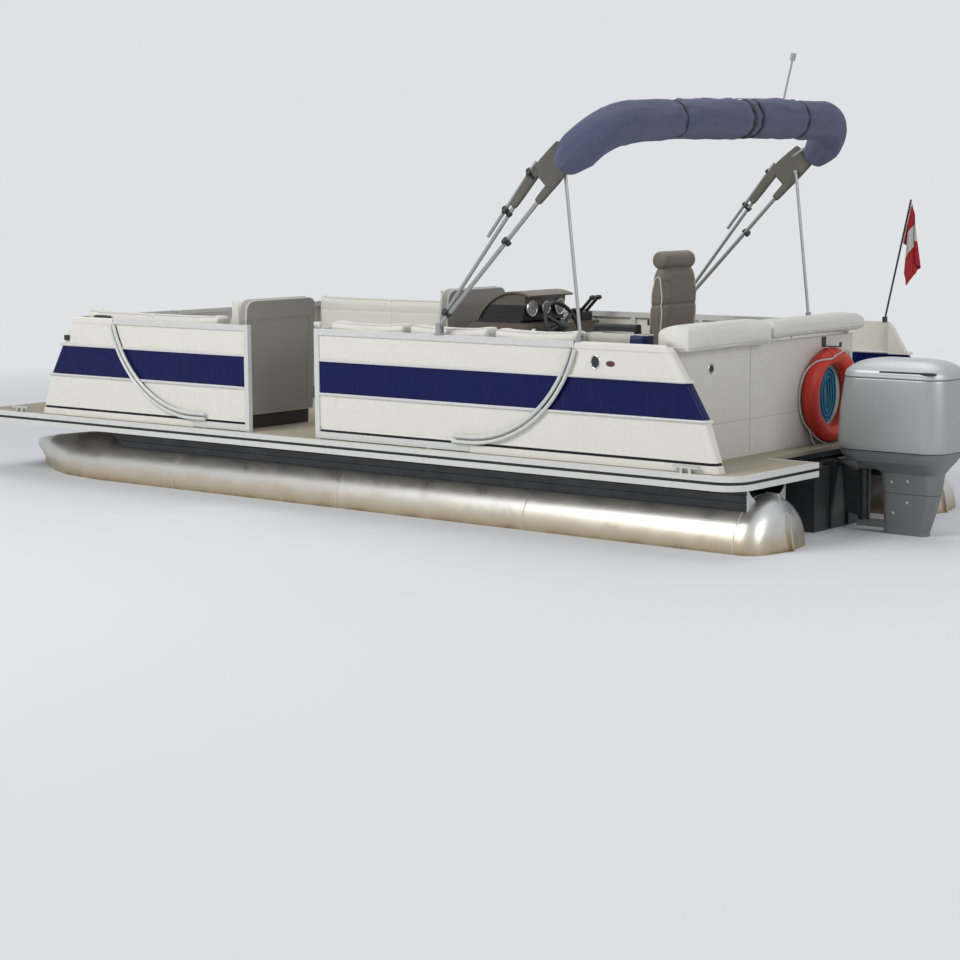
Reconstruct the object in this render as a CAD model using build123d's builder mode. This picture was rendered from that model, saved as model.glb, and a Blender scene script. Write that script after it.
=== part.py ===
"""Pontoon boat with an outboard motor, helm, lounges, gates and a folded top, in millimetres.

+X points to the bow, +Y to port and +Z up. The origin is on the centreline, amidships,
at the waterline.
"""
import os
from math import cos, radians, sin, sqrt

from build123d import *

os.makedirs("parts", exist_ok=True)

# Overall sizes
deck_length = 6250
beam = 2590
stern_x = -deck_length / 2
bow_x = deck_length / 2

# Pontoon tubes and what carries the deck
tube_radius = 292
tube_y = beam / 2 - 415
tube_aft_x = stern_x + 80
nose_start_x = bow_x - 1075
nose_length = 900
riser_width = 380
riser_wall = 5
riser_foot_z = 205
riser_front_x = nose_start_x
weld_gap = 0.2
member_height = 50
member_width = 45
member_wall = 4
member_count = 14
member_first_x = stern_x + 425
member_pitch = (deck_length - 972) / (member_count - 1)
eye_bore_radius = 10
eye_plate = 10

# Deck and its edge trim
deck_top = 430
deck_thickness = 22
deck_under = deck_top - deck_thickness
trim_low = 350
trim_wall = 26
bow_corner = 190
stern_corner = 150
well_half_width = 460
well_front_x = stern_x + 325
groove_low, groove_high = 384, 399
groove_depth = 6

# Fence: square tube frames with sheet panels between the bands
fence_y = beam / 2 - 45
fence_tube = 32
fence_base = deck_top + 5
panel_low = 492
band_low = 705
band_high = 910
rail_low = 1063
rail_top = 1100
panel_sheet = 3
ledge_depth = 8
ledge_height = 14
gate_aft_x = -70
gate_front_x = 500
stern_wall_x = stern_x + 485
stern_wall_end_y = -740
bow_wall_x = bow_x - 965
bow_gate_half = 330
gate_gap = 8

# Corner mouldings
wing_thickness = 70
trim_arc_radius = 775
trim_arc_z = 1280
stern_arc_x = stern_wall_x + 1353
bow_arc_x = bow_wall_x - 1154
trim_tube_radius = 11
trim_tail = 120

# Outboard motor
transom_x = stern_x + 140
transom_top = 365
pod_half_width = 270
pod_bottom = -150
tilt_x = transom_x - 35
tilt_z = 385
steer_x = tilt_x - 130
cowl_front_x = tilt_x - 20
cowl_length = 685
cowl_half_width = 200
cowl_low = 480
lid_low = 887
pan_low = 350
pan_front_low = 427
prop_z = -330

# Folded top
pivot_x = stern_wall_x + 1580
pivot_z = 1150
leg_y = fence_y - 10
arch_half = leg_y + 40
knee_reach = 1160
shoulder_reach = 1655
arch_crown = 1690
arch_rack = 38
shoulder_bend = 330
crown_bend = 6000
arch_angle = 44.6
eye_reach = 1245
bow_tube_radius = 12.5
boot_radius = 105
strut_foot_x = stern_wall_x + 590
strut_foot_z = 1130
strut_y = leg_y - 27
strut_radius = 10

# Helm and seats
seat_top = 900
seat_base_top = 800
seat_gap = 0.4
cushion_y = fence_y - 60
helm_y = -(fence_y - 630)
wheel_x = -545
wheel_z = 1035
wheel_radius = 165
chair_x = -1180
helm_front_x = 60


def side_plane(y):
    """Plane facing starboard: local x is +X and local y is +Z."""
    return Plane(origin=(0, y, 0), x_dir=(1, 0, 0), z_dir=(0, -1, 0))


def cross_plane(x):
    """Plane facing the bow: local x is +Y and local y is +Z."""
    return Plane(origin=(x, 0, 0), x_dir=(0, 1, 0), z_dir=(1, 0, 0))


def block(x_low, x_high, y_low, y_high, z_low, z_high, mode=Mode.ADD):
    """A rectangular block between two corners."""
    with BuildSketch(Plane.XY.offset(z_low)) as foot:
        with Locations(((x_low + x_high) / 2, (y_low + y_high) / 2)):
            Rectangle(x_high - x_low, y_high - y_low)
    extrude(foot.sketch, amount=z_high - z_low, mode=mode)


def side_slab(points, y_low, y_high, mode=Mode.ADD):
    """A plate with a side profile of straight edges, between two widths."""
    with BuildSketch(side_plane(y_high)) as profile:
        with BuildLine():
            Polyline(*points, close=True)
        make_face()
    extrude(profile.sketch, amount=y_high - y_low, mode=mode)


def rod(start, end, radius, mode=Mode.ADD):
    """A round bar between two points."""
    axis = Vector(*end) - Vector(*start)
    with BuildSketch(Plane(origin=start, z_dir=axis)) as ring:
        Circle(radius)
    extrude(ring.sketch, amount=axis.length, mode=mode)


def save(piece, name):
    """Labels a finished piece and writes its file."""
    piece.label = name
    export_step(piece, f"parts/{name}.step")


# Pontoons: a plain tube, a dished aft end and a raised nose of ruled cones
nose_sections = [  # share of the nose length, radius, height of the centre
    (0.0, tube_radius, 0),
    (0.42, 238, 38),
    (0.78, 128, 110),
    (1.0, 40, 165),
]
knuckle_radius = 130
dish_depth = 165


def pontoon(side):
    y = side * tube_y
    with BuildPart() as tube:
        with BuildSketch(side_plane(y)):
            with BuildLine():
                shoulder = (tube_aft_x, tube_radius)
                knuckle = JernArc(shoulder, (-1, 0), knuckle_radius, 76)
                Line(knuckle @ 1, (tube_aft_x - dish_depth, 0))
                Line((tube_aft_x - dish_depth, 0), (nose_start_x, 0))
                Line((nose_start_x, 0), (nose_start_x, tube_radius))
                Line((nose_start_x, tube_radius), shoulder)
            make_face()
        revolve(axis=Axis((0, y, 0), (1, 0, 0)))
        for share, radius, height in nose_sections:
            place = (nose_start_x + share * nose_length, y, height)
            with BuildSketch(Plane(origin=place, x_dir=(0, 1, 0), z_dir=(1, 0, 0))):
                Circle(radius)
        loft(ruled=True)
        keel_low, keel_high = -tube_radius - 22, -tube_radius + 20
        block(tube_aft_x, nose_start_x, y - 6, y + 6, keel_low, keel_high)
        seam = [
            (tube_aft_x, tube_radius + 16),
            (tube_aft_x - 75, tube_radius + 12),
            (tube_aft_x - dish_depth + 5, 120),
            (tube_aft_x - dish_depth - 14, 0),
            (tube_aft_x - dish_depth + 5, -120),
            (tube_aft_x, -tube_radius - 10),
            (tube_aft_x + 60, 0),
        ]
        side_slab(seam, y - 8, y + 8)
        eye_x = nose_start_x + 0.9 * nose_length
        eye = [(eye_x - 90, 130), (eye_x + 60, 150), (eye_x + 60, 20), (eye_x - 60, 10)]
        side_slab(eye, y - eye_plate / 2, y + eye_plate / 2)
        rod((eye_x + 30, y + 20, 50), (eye_x + 30, y - 20, 50), eye_bore_radius, Mode.SUBTRACT)
    return tube.part


save(pontoon(1), "port_pontoon")
save(pontoon(-1), "starboard_pontoon")


# Risers: ribbed channels welded along the tubes, with an eared plate at the aft end
riser_top = deck_under - member_height
rib_count = 4
rib_height = 9
rib_depth = 6
ear_plate = 7

with BuildPart() as risers:
    for side in (1, -1):
        y = side * tube_y
        with BuildSketch(cross_plane(tube_aft_x)) as channel:
            with Locations((y, (riser_foot_z + riser_top) / 2)):
                Rectangle(riser_width, riser_top - riser_foot_z)
            rib_pitch = (riser_top - riser_foot_z - 30) / (rib_count - 1)
            for k in range(rib_count):
                with Locations((y, riser_foot_z + 15 + k * rib_pitch)):
                    Rectangle(riser_width + 2 * rib_depth, rib_height)
            with Locations((y, (riser_foot_z + riser_top) / 2 - riser_wall)):
                Rectangle(riser_width - 2 * riser_wall, riser_top - riser_foot_z, mode=Mode.SUBTRACT)
        extrude(channel.sketch, amount=riser_front_x - tube_aft_x)
        rod(
            (tube_aft_x - 10, y, 0), (riser_front_x + 10, y, 0), tube_radius + weld_gap, Mode.SUBTRACT
        )
        nose_cut = [
            (riser_front_x + 1, riser_foot_z - 1),
            (riser_front_x + 1, riser_top + 1),
            (riser_front_x - 190, riser_foot_z - 1),
        ]
        side_slab(nose_cut, y - riser_width, y + riser_width, Mode.SUBTRACT)
        for ear in (1, -1):
            with BuildSketch(cross_plane(tube_aft_x - ear_plate)) as horn:
                with BuildLine():
                    tip = (y + ear * riser_width / 2, riser_top - 20)
                    inner = (y + ear * 95, 262)
                    ThreePointArc(tip, (y + ear * 135, 285), inner)
                    Line(inner, (y + ear * 95, riser_foot_z))
                    Line((y + ear * 95, riser_foot_z), (y + ear * riser_width / 2, riser_foot_z))
                    Line((y + ear * riser_width / 2, riser_foot_z), tip)
                make_face()
            extrude(horn.sketch, amount=ear_plate)
        rod(
            (tube_aft_x - ear_plate - 5, y, 0), (tube_aft_x + 1, y, 0), tube_radius + weld_gap,
            Mode.SUBTRACT,
        )
save(risers.part, "pontoon_risers")


# Cross members: channels across both risers
with BuildPart() as members:
    for k in range(member_count):
        x = member_first_x + k * member_pitch
        with BuildSketch(side_plane(beam / 2 - trim_wall - 4)) as section:
            with Locations((x, (riser_top + deck_under) / 2)):
                Rectangle(member_width, member_height)
            with Locations((x + member_wall, (riser_top + deck_under) / 2)):
                Rectangle(member_width, member_height - 2 * member_wall, mode=Mode.SUBTRACT)
        extrude(section.sketch, amount=beam - 2 * trim_wall - 8)
save(members.part, "cross_members")


# Motor pod: a keeled box under the deck with a thick transom
pod_front_x = stern_x + 1225
pod_chine = 70
with BuildPart() as pod:
    with BuildSketch(side_plane(pod_half_width)) as pod_side:
        with BuildLine():
            Polyline(
                (transom_x, riser_top), (pod_front_x, riser_top), (pod_front_x - 130, 200),
                (pod_front_x - 620, pod_bottom + 20), (transom_x, pod_bottom), close=True,
            )
        make_face()
    extrude(pod_side.sketch, amount=2 * pod_half_width)
    chines = pod.edges().filter_by(lambda e: e.center().Z < 150 and abs(e.center().Y) > 200)
    chines = chines.filter_by(lambda e: abs(e.tangent_at(0.5).Y) < 0.1 and abs(e.tangent_at(0.5).X) > 0.5)
    chamfer(chines, length=pod_chine)
    block(transom_x, transom_x + 45, -pod_half_width, pod_half_width, riser_top - 5, transom_top)
save(pod.part, "motor_pod")


# Deck: one sheet with rounded corners and the motor well cut in its aft edge
def deck_outline(inset):
    """The plan of the deck, drawn in by an inset."""
    with BuildSketch() as plan:
        with Locations(((bow_x + stern_x) / 2, 0)):
            Rectangle(deck_length - 2 * inset, beam - 2 * inset)
        corners = plan.vertices().sort_by(Axis.X)
        fillet(corners[-2:], radius=bow_corner - inset)
        fillet(plan.vertices().group_by(Axis.X)[0], radius=stern_corner - inset)
        well_length = well_front_x - stern_x + inset
        with Locations((stern_x + (well_front_x - stern_x) / 2 - inset / 2, 0)):
            Rectangle(well_length, 2 * (well_half_width + inset), mode=Mode.SUBTRACT)
    return plan.sketch


with BuildPart() as deck:
    extrude(Plane.XY.offset(deck_under) * deck_outline(trim_wall), amount=deck_thickness)
save(deck.part, "deck")

with BuildPart() as edge_trim:
    extrude(Plane.XY.offset(trim_low) * deck_outline(0), amount=deck_top - trim_low)
    extrude(
        Plane.XY.offset(trim_low - 1) * deck_outline(trim_wall),
        amount=deck_top - trim_low + 2,
        mode=Mode.SUBTRACT,
    )
    extrude(
        Plane.XY.offset(groove_low) * (deck_outline(-1) - deck_outline(groove_depth)),
        amount=groove_high - groove_low,
        mode=Mode.SUBTRACT,
    )
save(edge_trim.part, "deck_edge_trim")


# Corner mouldings: wings built of tiers, each with a raked and rounded end
wing_tiers = [  # low, high, reach of the raked end past the wall at each, step in from the face
    (deck_top + 2, 475, 340, 325, 0),
    (475, 489, 318, 313, 7),
    (489, 698, 320, 248, 3),
    (698, 712, 262, 257, 0),
    (712, 903, 243, 128, 9),
    (903, 917, 142, 136, 0),
    (917, 1062, 116, 22, 4),
    (1062, rail_top, 24, -14, 0),
]
wing_round = 30
wing_lip = 10


def arc_edge(centre_x, toward):
    """The curved seam between a moulding and the fence, as three points of its arc."""
    start_x = centre_x + toward * sqrt(trim_arc_radius**2 - (trim_arc_z - rail_top) ** 2)
    middle = radians(48)
    mid = (centre_x + toward * trim_arc_radius * cos(middle), trim_arc_z - trim_arc_radius * sin(middle))
    return (start_x, rail_top), mid, (centre_x, trim_arc_z - trim_arc_radius)


def wing(side, wall_x, centre_x, toward):
    """One moulding: rounded tiers, trimmed to the curved seam and hollowed beside the fence."""
    top, mid, low = arc_edge(centre_x, toward)
    outer = side * fence_y
    inner = outer - side * wing_thickness
    with BuildPart() as moulding:
        for z_low, z_high, reach_low, reach_high, step in wing_tiers:
            face = outer - side * step
            profile = [
                (wall_x + toward * reach_low, z_low), (wall_x + toward * reach_high, z_high),
                (centre_x - toward * 20, z_high), (centre_x - toward * 20, z_low),
            ]
            with BuildPart(mode=Mode.PRIVATE) as tier:
                side_slab(profile, min(face, inner), max(face, inner))
                on_face = tier.edges().filter_by(lambda e: abs(e.center().Y - face) < 0.5)
                raked = on_face.sort_by(lambda e: toward * e.center().X)[-1]
                fillet(raked, radius=wing_round)
                if z_high == rail_top:
                    lip = tier.edges().filter_by(
                        lambda e: abs(e.center().Y - face) < 0.5 and abs(e.center().Z - rail_top) < 0.5
                    )
                    chamfer(lip, length=wing_lip)
            add(tier.part)
        far = wall_x + toward * 500
        with BuildSketch(side_plane(max(outer, inner) + 1)) as kept:
            with BuildLine():
                Polyline(
                    low, (low[0], deck_top + 2), (far, deck_top + 2), (far, rail_top), top,
                )
                ThreePointArc(top, mid, low)
            make_face()
        extrude(kept.sketch, amount=wing_thickness + 2, mode=Mode.INTERSECT)
        inner_low, inner_high = sorted((outer - side * wing_thickness * 2, outer - side * fence_tube))
        block(
            *sorted((wall_x - toward * 2, centre_x - toward * 50)), inner_low, inner_high,
            deck_top, rail_top + 1, Mode.SUBTRACT,
        )
    return moulding.part


save(wing(1, stern_wall_x, stern_arc_x, -1), "port_stern_moulding")
save(wing(-1, stern_wall_x, stern_arc_x, -1), "starboard_stern_moulding")
save(wing(1, bow_wall_x, bow_arc_x, 1), "port_bow_moulding")
save(wing(-1, bow_wall_x, bow_arc_x, 1), "starboard_bow_moulding")


# Fence frames: a base rail, a top rail, posts and the ledges that edge the coloured band
post_width = 35
seam_foot = 2
pin_gap = 10


def arc_x(centre_x, toward, z):
    """Where the moulding's curved seam stands at a height."""
    return centre_x + toward * sqrt(trim_arc_radius**2 - (trim_arc_z - z) ** 2)


def side_strip(side, x_low, x_high, z_low, z_high, depth=fence_tube, back=0):
    """A bar of the side fence, measured inward from its outer face."""
    outer = side * (fence_y - back)
    inner = outer - side * depth
    block(x_low, x_high, min(outer, inner), max(outer, inner), z_low, z_high)


def side_fence(side, ends, posts):
    """Rails and ledges between two ends; an end is an x or a seam (centre, toward)."""
    def reach(end, z, gap=1.0):
        if isinstance(end, tuple):
            return arc_x(end[0], end[1], z) - end[1] * gap
        return end

    low_end, high_end = ends
    base = [e[0] - e[1] * seam_foot if isinstance(e, tuple) else e for e in ends]
    side_strip(side, base[0], base[1], fence_base, fence_base + 40)
    side_strip(side, reach(low_end, rail_low), reach(high_end, rail_low), rail_low, rail_top - 0.5)
    for ledge_z in (band_low, band_high):
        low_z, high_z = ledge_z - ledge_height / 2, ledge_z + ledge_height / 2
        side_strip(side, reach(low_end, low_z), reach(high_end, low_z), low_z, high_z, ledge_depth)
    for x in posts:
        end_post = x in (low_end, high_end - post_width if not isinstance(high_end, tuple) else None)
        depth, back = (fence_tube, 0) if end_post else (fence_tube - 12, 12)
        side_strip(side, x, x + post_width, fence_base, rail_low + 5, depth, back)
        block(
            x, x + post_width, *sorted((side * (fence_y - 4), side * (fence_y - fence_tube + 4))),
            deck_top, fence_base + 2,
        )


hinge_radius = 7
hinge_heights = (560, 960)
hinge_length = 34


def hinge_leaves(x, y, arm_x, arm_y, lift):
    """Hinge barrels about a vertical line, each on a flat arm to what carries it."""
    for z in hinge_heights:
        rod((x, y, z + lift), (x, y, z + lift + hinge_length - 0.4), hinge_radius)
        block(
            min(x, arm_x) - 2, max(x, arm_x) + 2, min(y, arm_y) - 2, max(y, arm_y) + 2,
            z + lift, z + lift + hinge_length - 0.4,
        )


side_gate_pin = (gate_aft_x + 4, fence_y - fence_tube - pin_gap)
with BuildPart() as port_aft_fence:
    ends = ((stern_arc_x, -1), gate_aft_x)
    side_fence(1, ends, (gate_aft_x - post_width, -992))
    hinge_leaves(*side_gate_pin, gate_aft_x - 5, side_gate_pin[1] + pin_gap + 6, hinge_length)
save(port_aft_fence.part, "port_aft_fence")

with BuildPart() as port_forward_fence:
    side_fence(1, (gate_front_x, (bow_arc_x, 1)), (gate_front_x, 900))
save(port_forward_fence.part, "port_forward_fence")

with BuildPart() as starboard_fence:
    posts = [stern_arc_x + 40 + k * (bow_arc_x - stern_arc_x - 120) / 4 for k in range(5)]
    side_fence(-1, ((stern_arc_x, -1), (bow_arc_x, 1)), posts)
save(starboard_fence.part, "starboard_fence")

# Bow fence: two short frames across the boat, with the bow gate between them
bow_gate_pin = (bow_wall_x - fence_tube - pin_gap, bow_gate_half - 4)
wing_inner_y = fence_y - wing_thickness
with BuildPart() as bow_fence:
    for side in (1, -1):
        inner, outer = bow_gate_half, wing_inner_y - 0.3
        low_y, high_y = sorted((side * inner, side * outer))
        x_low, x_high = bow_wall_x - fence_tube, bow_wall_x
        block(x_low, x_high, low_y, high_y, fence_base, fence_base + 40)
        block(x_low, x_high, low_y, high_y, rail_low, rail_top)
        for y in (inner, outer - post_width):
            low_y, high_y = sorted((side * y, side * (y + post_width)))
            block(x_low, x_high, low_y, high_y, deck_top, rail_low + 5)
    hinge_leaves(*bow_gate_pin, bow_gate_pin[0] + pin_gap + 6, bow_gate_half + 5, hinge_length)
save(bow_fence.part, "bow_fence")


# Sheet panels behind the ledges, cut to the curved seams
def panel_sketch(ends):
    """A panel between two ends, each an x or a curved seam."""
    low_end, high_end = ends
    x_low = arc_x(*low_end, rail_low) if isinstance(low_end, tuple) else low_end
    x_high = arc_x(*high_end, rail_low) if isinstance(high_end, tuple) else high_end
    with BuildSketch() as panel:
        with Locations(((x_low + x_high) / 2, (panel_low + rail_low - 0.3) / 2)):
            Rectangle(x_high - x_low, rail_low - 0.3 - panel_low)
        for end in ends:
            if isinstance(end, tuple):
                with BuildSketch(mode=Mode.PRIVATE) as keep:
                    with Locations((end[0], trim_arc_z)):
                        Circle(trim_arc_radius - 1)
                    with Locations((end[0] - end[1] * 3000, trim_arc_z)):
                        Rectangle(6000, 2 * trim_arc_radius - 2)
                add(keep.sketch, mode=Mode.INTERSECT)
    return panel.sketch


with BuildPart() as fence_panels:
    runs = [
        (1, ((stern_arc_x, -1), gate_aft_x - post_width - 0.3)),
        (1, (gate_front_x + post_width + 0.3, (bow_arc_x, 1))),
        (-1, ((stern_arc_x, -1), (bow_arc_x, 1))),
    ]
    for side, ends in runs:
        outer = side * (fence_y - ledge_depth)
        placed = side_plane(max(outer, outer - side * panel_sheet)) * panel_sketch(ends)
        extrude(placed, amount=panel_sheet)
    for side in (1, -1):
        low_y, high_y = sorted(
            (side * (bow_gate_half + post_width + 0.3), side * (wing_inner_y - post_width - 0.6))
        )
        face = bow_wall_x - ledge_depth
        block(face - panel_sheet, face, low_y, high_y, fence_base + 40.3, rail_low - 0.3)
save(fence_panels.part, "fence_panels")

# Trim tubes: a pair of bent tubes over each curved seam
with BuildPart() as trim_tubes:
    for side in (1, -1):
        for centre_x, toward in ((stern_arc_x, -1), (bow_arc_x, 1)):
            for offset in (-16, 16):
                radius = trim_arc_radius + offset
                tube_z = rail_low - 8
                top = (centre_x + toward * sqrt(radius**2 - (trim_arc_z - tube_z) ** 2), tube_z)
                turn = radians(48)
                mid = (centre_x + toward * radius * cos(turn), trim_arc_z - radius * sin(turn))
                low = (centre_x, trim_arc_z - radius)
                y = side * (fence_y + trim_tube_radius + 0.3)
                with BuildLine(side_plane(y)) as seam:
                    ThreePointArc(top, mid, low)
                    Line(low, (centre_x - toward * trim_tail, trim_arc_z - radius))
                with BuildSketch(Plane(origin=seam.line @ 0, z_dir=seam.line % 0)) as ring:
                    Circle(trim_tube_radius)
                sweep(ring.sketch, path=seam.line)
save(trim_tubes.part, "trim_tubes")


# Gates: framed leaves with one sheet panel; each hangs on two hinge barrels
def leaf_bars(low, high, across):
    """A gate leaf's frame and panel; across tells along which axis it spans."""
    (x_low, y_low), (x_high, y_high) = low, high
    z_low, z_high = deck_top + 40, rail_top - 3
    bar = 28
    for bar_low, bar_high in ((z_low, z_low + bar), (z_high - bar, z_high)):
        block(x_low, x_high, y_low, y_high, bar_low, bar_high)
    if across == "x":
        block(x_low, x_low + bar, y_low, y_high, z_low, z_high)
        block(x_high - bar, x_high, y_low, y_high, z_low, z_high)
        block(x_low, x_high, (y_low + y_high) / 2 - 2, (y_low + y_high) / 2 + 2, z_low, z_high)
    else:
        block(x_low, x_high, y_low, y_low + bar, z_low, z_high)
        block(x_low, x_high, y_high - bar, y_high, z_low, z_high)
        block((x_low + x_high) / 2 - 2, (x_low + x_high) / 2 + 2, y_low, y_high, z_low, z_high)


side_leaf = gate_front_x - gate_aft_x - 2 * gate_gap
with BuildPart() as side_gate:
    pin_x, pin_y = side_gate_pin
    leaf_bars((pin_x + pin_gap, pin_y - 4 - side_leaf), (pin_x + pin_gap + fence_tube, pin_y - 4), "y")
    hinge_leaves(pin_x, pin_y, pin_x + pin_gap + 6, pin_y - 9, 0)
save(side_gate.part, "side_gate")

with BuildPart() as bow_gate:
    leaf_bars(
        (bow_wall_x - fence_tube, -bow_gate_half + gate_gap), (bow_wall_x, bow_gate_half - gate_gap), "y"
    )
    hinge_leaves(*bow_gate_pin, bow_gate_pin[0] + pin_gap + 6, bow_gate_pin[1] - 9, 0)
save(bow_gate.part, "bow_gate")

# Stern wall with an end post, and the stern gate beside it
wall_sheet = 30
wall_top = 1058
wall_seam_y = 405
stern_pin = (stern_wall_x + fence_tube + pin_gap, stern_wall_end_y - 4)
with BuildPart() as stern_wall:
    block(stern_wall_x, stern_wall_x + wall_sheet, stern_wall_end_y, wing_inner_y - 0.3, deck_top, wall_top)
    block(
        stern_wall_x, stern_wall_x + fence_tube, stern_wall_end_y, stern_wall_end_y + 40,
        deck_top, wall_top,
    )
    block(stern_wall_x - 1, stern_wall_x + 4, wall_seam_y - 3, wall_seam_y + 3, deck_top + 20, wall_top + 1,
          Mode.SUBTRACT)
    block(stern_wall_x - 1, stern_wall_x + 2, stern_wall_end_y + 45, wing_inner_y, 679, 682, Mode.SUBTRACT)
    hinge_leaves(*stern_pin, stern_pin[0] - pin_gap - 6, stern_pin[1] + 9, hinge_length)
save(stern_wall.part, "stern_wall")

stern_leaf = wing_inner_y + stern_wall_end_y - 2 * gate_gap
with BuildPart() as stern_gate:
    pin_x, pin_y = stern_pin
    leaf_bars((pin_x + 4, pin_y - pin_gap - fence_tube), (pin_x + 4 + stern_leaf, pin_y - pin_gap), "x")
    hinge_leaves(pin_x, pin_y, pin_x + 9, pin_y - pin_gap - 6, 0)
save(stern_gate.part, "stern_gate")


# Lounges: moulded bases, seat cushions, backrests and stern bolsters
lounge_front_y = 640
aft_lounge_end = gate_aft_x - 45
corner_x = stern_wall_x + 610
stern_lounge_end_y = stern_wall_end_y + 40
port_chaise_x = 600
starboard_chaise_x = 430
bow_lounge_end = bow_wall_x - 60
chaise_back_top = 1240
kick_top = 520
back_top = 1160
back_depth = 125
chaise_round = 60

with BuildPart() as aft_bases:
    block(corner_x + 1, aft_lounge_end, lounge_front_y, cushion_y, deck_top, seat_base_top)
    block(
        stern_wall_x + wall_sheet + 10, corner_x, stern_lounge_end_y, cushion_y, deck_top, seat_base_top
    )
save(aft_bases.part, "aft_lounge_bases")

with BuildPart() as bow_bases:
    for side, chaise_x in ((1, port_chaise_x), (-1, starboard_chaise_x)):
        low_y, high_y = sorted((side * lounge_front_y, side * cushion_y))
        block(chaise_x + 40, bow_lounge_end, low_y, high_y, deck_top, seat_base_top)
        low_y, high_y = sorted((side * (lounge_front_y - 70), side * cushion_y))
        shell = [
            (chaise_x + 40, deck_top), (chaise_x + 36, kick_top), (chaise_x, kick_top + 8),
            (chaise_x - 45, chaise_back_top), (chaise_x + 10, chaise_back_top + 12),
            (chaise_x + 70, seat_base_top),
        ]
        with BuildPart(mode=Mode.PRIVATE) as back_shell:
            side_slab(shell, low_y, high_y)
            crest = back_shell.edges().filter_by(
                lambda e: e.center().Z > chaise_back_top and abs(e.center().Y - (low_y + high_y) / 2) > 100
            )
            fillet(crest, radius=chaise_round)
            lean_rate = 45 / (chaise_back_top - kick_top - 8)
            recess_low, recess_high = kick_top + 70, chaise_back_top - 110
            recess = [(recess_low, 1), (recess_high, 1), (recess_high, -4), (recess_low, -4)]
            side_slab(
                [(chaise_x - lean_rate * (z - kick_top - 8) - out, z) for z, out in recess],
                low_y + 55, high_y - 55, Mode.SUBTRACT,
            )
        add(back_shell.part)
save(bow_bases.part, "bow_lounge_bases")


def cushion(x_low, x_high, y_low, y_high, z_low, z_high, round_off):
    """A plain pad with its upper edges rounded."""
    with BuildPart(mode=Mode.PRIVATE) as pad:
        block(x_low, x_high, y_low, y_high, z_low, z_high)
        fillet(pad.edges().group_by(Axis.Z)[-1], radius=round_off)
    add(pad.part)


with BuildPart() as aft_cushions:
    rest = back_depth + 6
    z_low, z_high = seat_base_top + seat_gap, seat_top
    cushion(corner_x + 4, aft_lounge_end - 4, lounge_front_y, cushion_y - rest, z_low, z_high, 30)
    cushion(
        stern_wall_x + wall_sheet + 14 + rest, corner_x - 4, stern_lounge_end_y, cushion_y - rest,
        z_low, z_high, 30,
    )
save(aft_cushions.part, "aft_lounge_cushions")

with BuildPart() as bow_cushions:
    for side, chaise_x in ((1, port_chaise_x), (-1, starboard_chaise_x)):
        low_y, high_y = sorted((side * lounge_front_y, side * (cushion_y - rest)))
        cushion(chaise_x + 210, bow_lounge_end - 6, low_y, high_y, z_low, z_high, 30)
save(bow_cushions.part, "bow_lounge_cushions")

with BuildPart() as backrests:
    back_run = aft_lounge_end - corner_x - 8
    for k in range(3):
        x_low = corner_x + 4 + k * back_run / 3
        x_high = x_low + back_run / 3 - 6
        cushion(
            x_low, x_high, cushion_y - back_depth, cushion_y, seat_base_top + seat_gap, back_top, 35
        )
    wall_back = stern_wall_x + wall_sheet + 14
    cushion(
        wall_back, wall_back + back_depth, stern_lounge_end_y, cushion_y - back_depth - 6,
        seat_base_top + seat_gap, wall_top - 4, 30,
    )
    for side, chaise_x in ((1, port_chaise_x), (-1, starboard_chaise_x)):
        low_y, high_y = sorted((side * (cushion_y - back_depth), side * cushion_y))
        cushion(
            chaise_x + 210, bow_lounge_end - 6, low_y, high_y, seat_base_top + seat_gap, back_top, 35
        )
        low_y, high_y = sorted((side * lounge_front_y, side * cushion_y))
        lean = [
            (chaise_x + 75, seat_base_top + seat_gap), (chaise_x + 16, chaise_back_top + 5),
            (chaise_x + 110, chaise_back_top + 30), (chaise_x + 200, seat_base_top + seat_gap),
        ]
        side_slab(lean, low_y, high_y)
save(backrests.part, "lounge_backrests")

bolster_x = stern_wall_x + 10
bolster_split = 310
with BuildPart() as bolsters:
    low, high = wall_top + seat_gap, wall_top + 32
    cushion(bolster_x - 105, bolster_x + 105, bolster_split + 3, wing_inner_y - 4, low, 1190, 45)
    cushion(bolster_x - 105, bolster_x + 105, stern_wall_end_y + 4, bolster_split - 3, high, 1175, 35)
    for y in (stern_wall_end_y + 20, bolster_split - 60):
        block(bolster_x - 8, bolster_x + 14, y, y + 40, low, high + 8)
save(bolsters.part, "stern_bolsters")


# Helm: console with an instrument pod, a curved hood, wheel and control levers
console_low_y, console_high_y = -cushion_y, helm_y + 235
pod_low_y, pod_high_y = helm_y - 235, helm_y + 205
console_side = [
    (-330, deck_top), (helm_front_x - 10, deck_top), (helm_front_x + 20, 780),
    (helm_front_x - 5, 1040), (-60, 1085), (-330, 1075), (-425, 1040), (-440, 930), (-360, 900),
]
hood_centre = (-310, 905)
hood_radius = 345
hood_sheet = 12


def hood_arc(radius, start, end):
    """An arc about the hood's centre, from and to an angle above the horizontal."""
    x, z = hood_centre
    turns = [radians(angle) for angle in (start, (start + end) / 2, end)]
    return ThreePointArc(*((x + radius * cos(turn), z + radius * sin(turn)) for turn in turns))


with BuildPart() as console:
    side_slab(console_side, console_low_y, console_high_y)
    with BuildSketch(side_plane(pod_high_y)) as pod_profile:
        with BuildLine():
            crest = hood_arc(hood_radius, 31, 104)
            Polyline(crest @ 1, (-372, 1070), (-60, 1070), crest @ 0)
        make_face()
    extrude(pod_profile.sketch, amount=pod_high_y - pod_low_y)
    for offset in (-150, 0, 150):
        spot = Vector(-383, helm_y - 15 + offset, 1150)
        rod(spot, spot + Vector(-14, 0, 0), 52 if offset else 42)
save(console.part, "helm_console")

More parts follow.
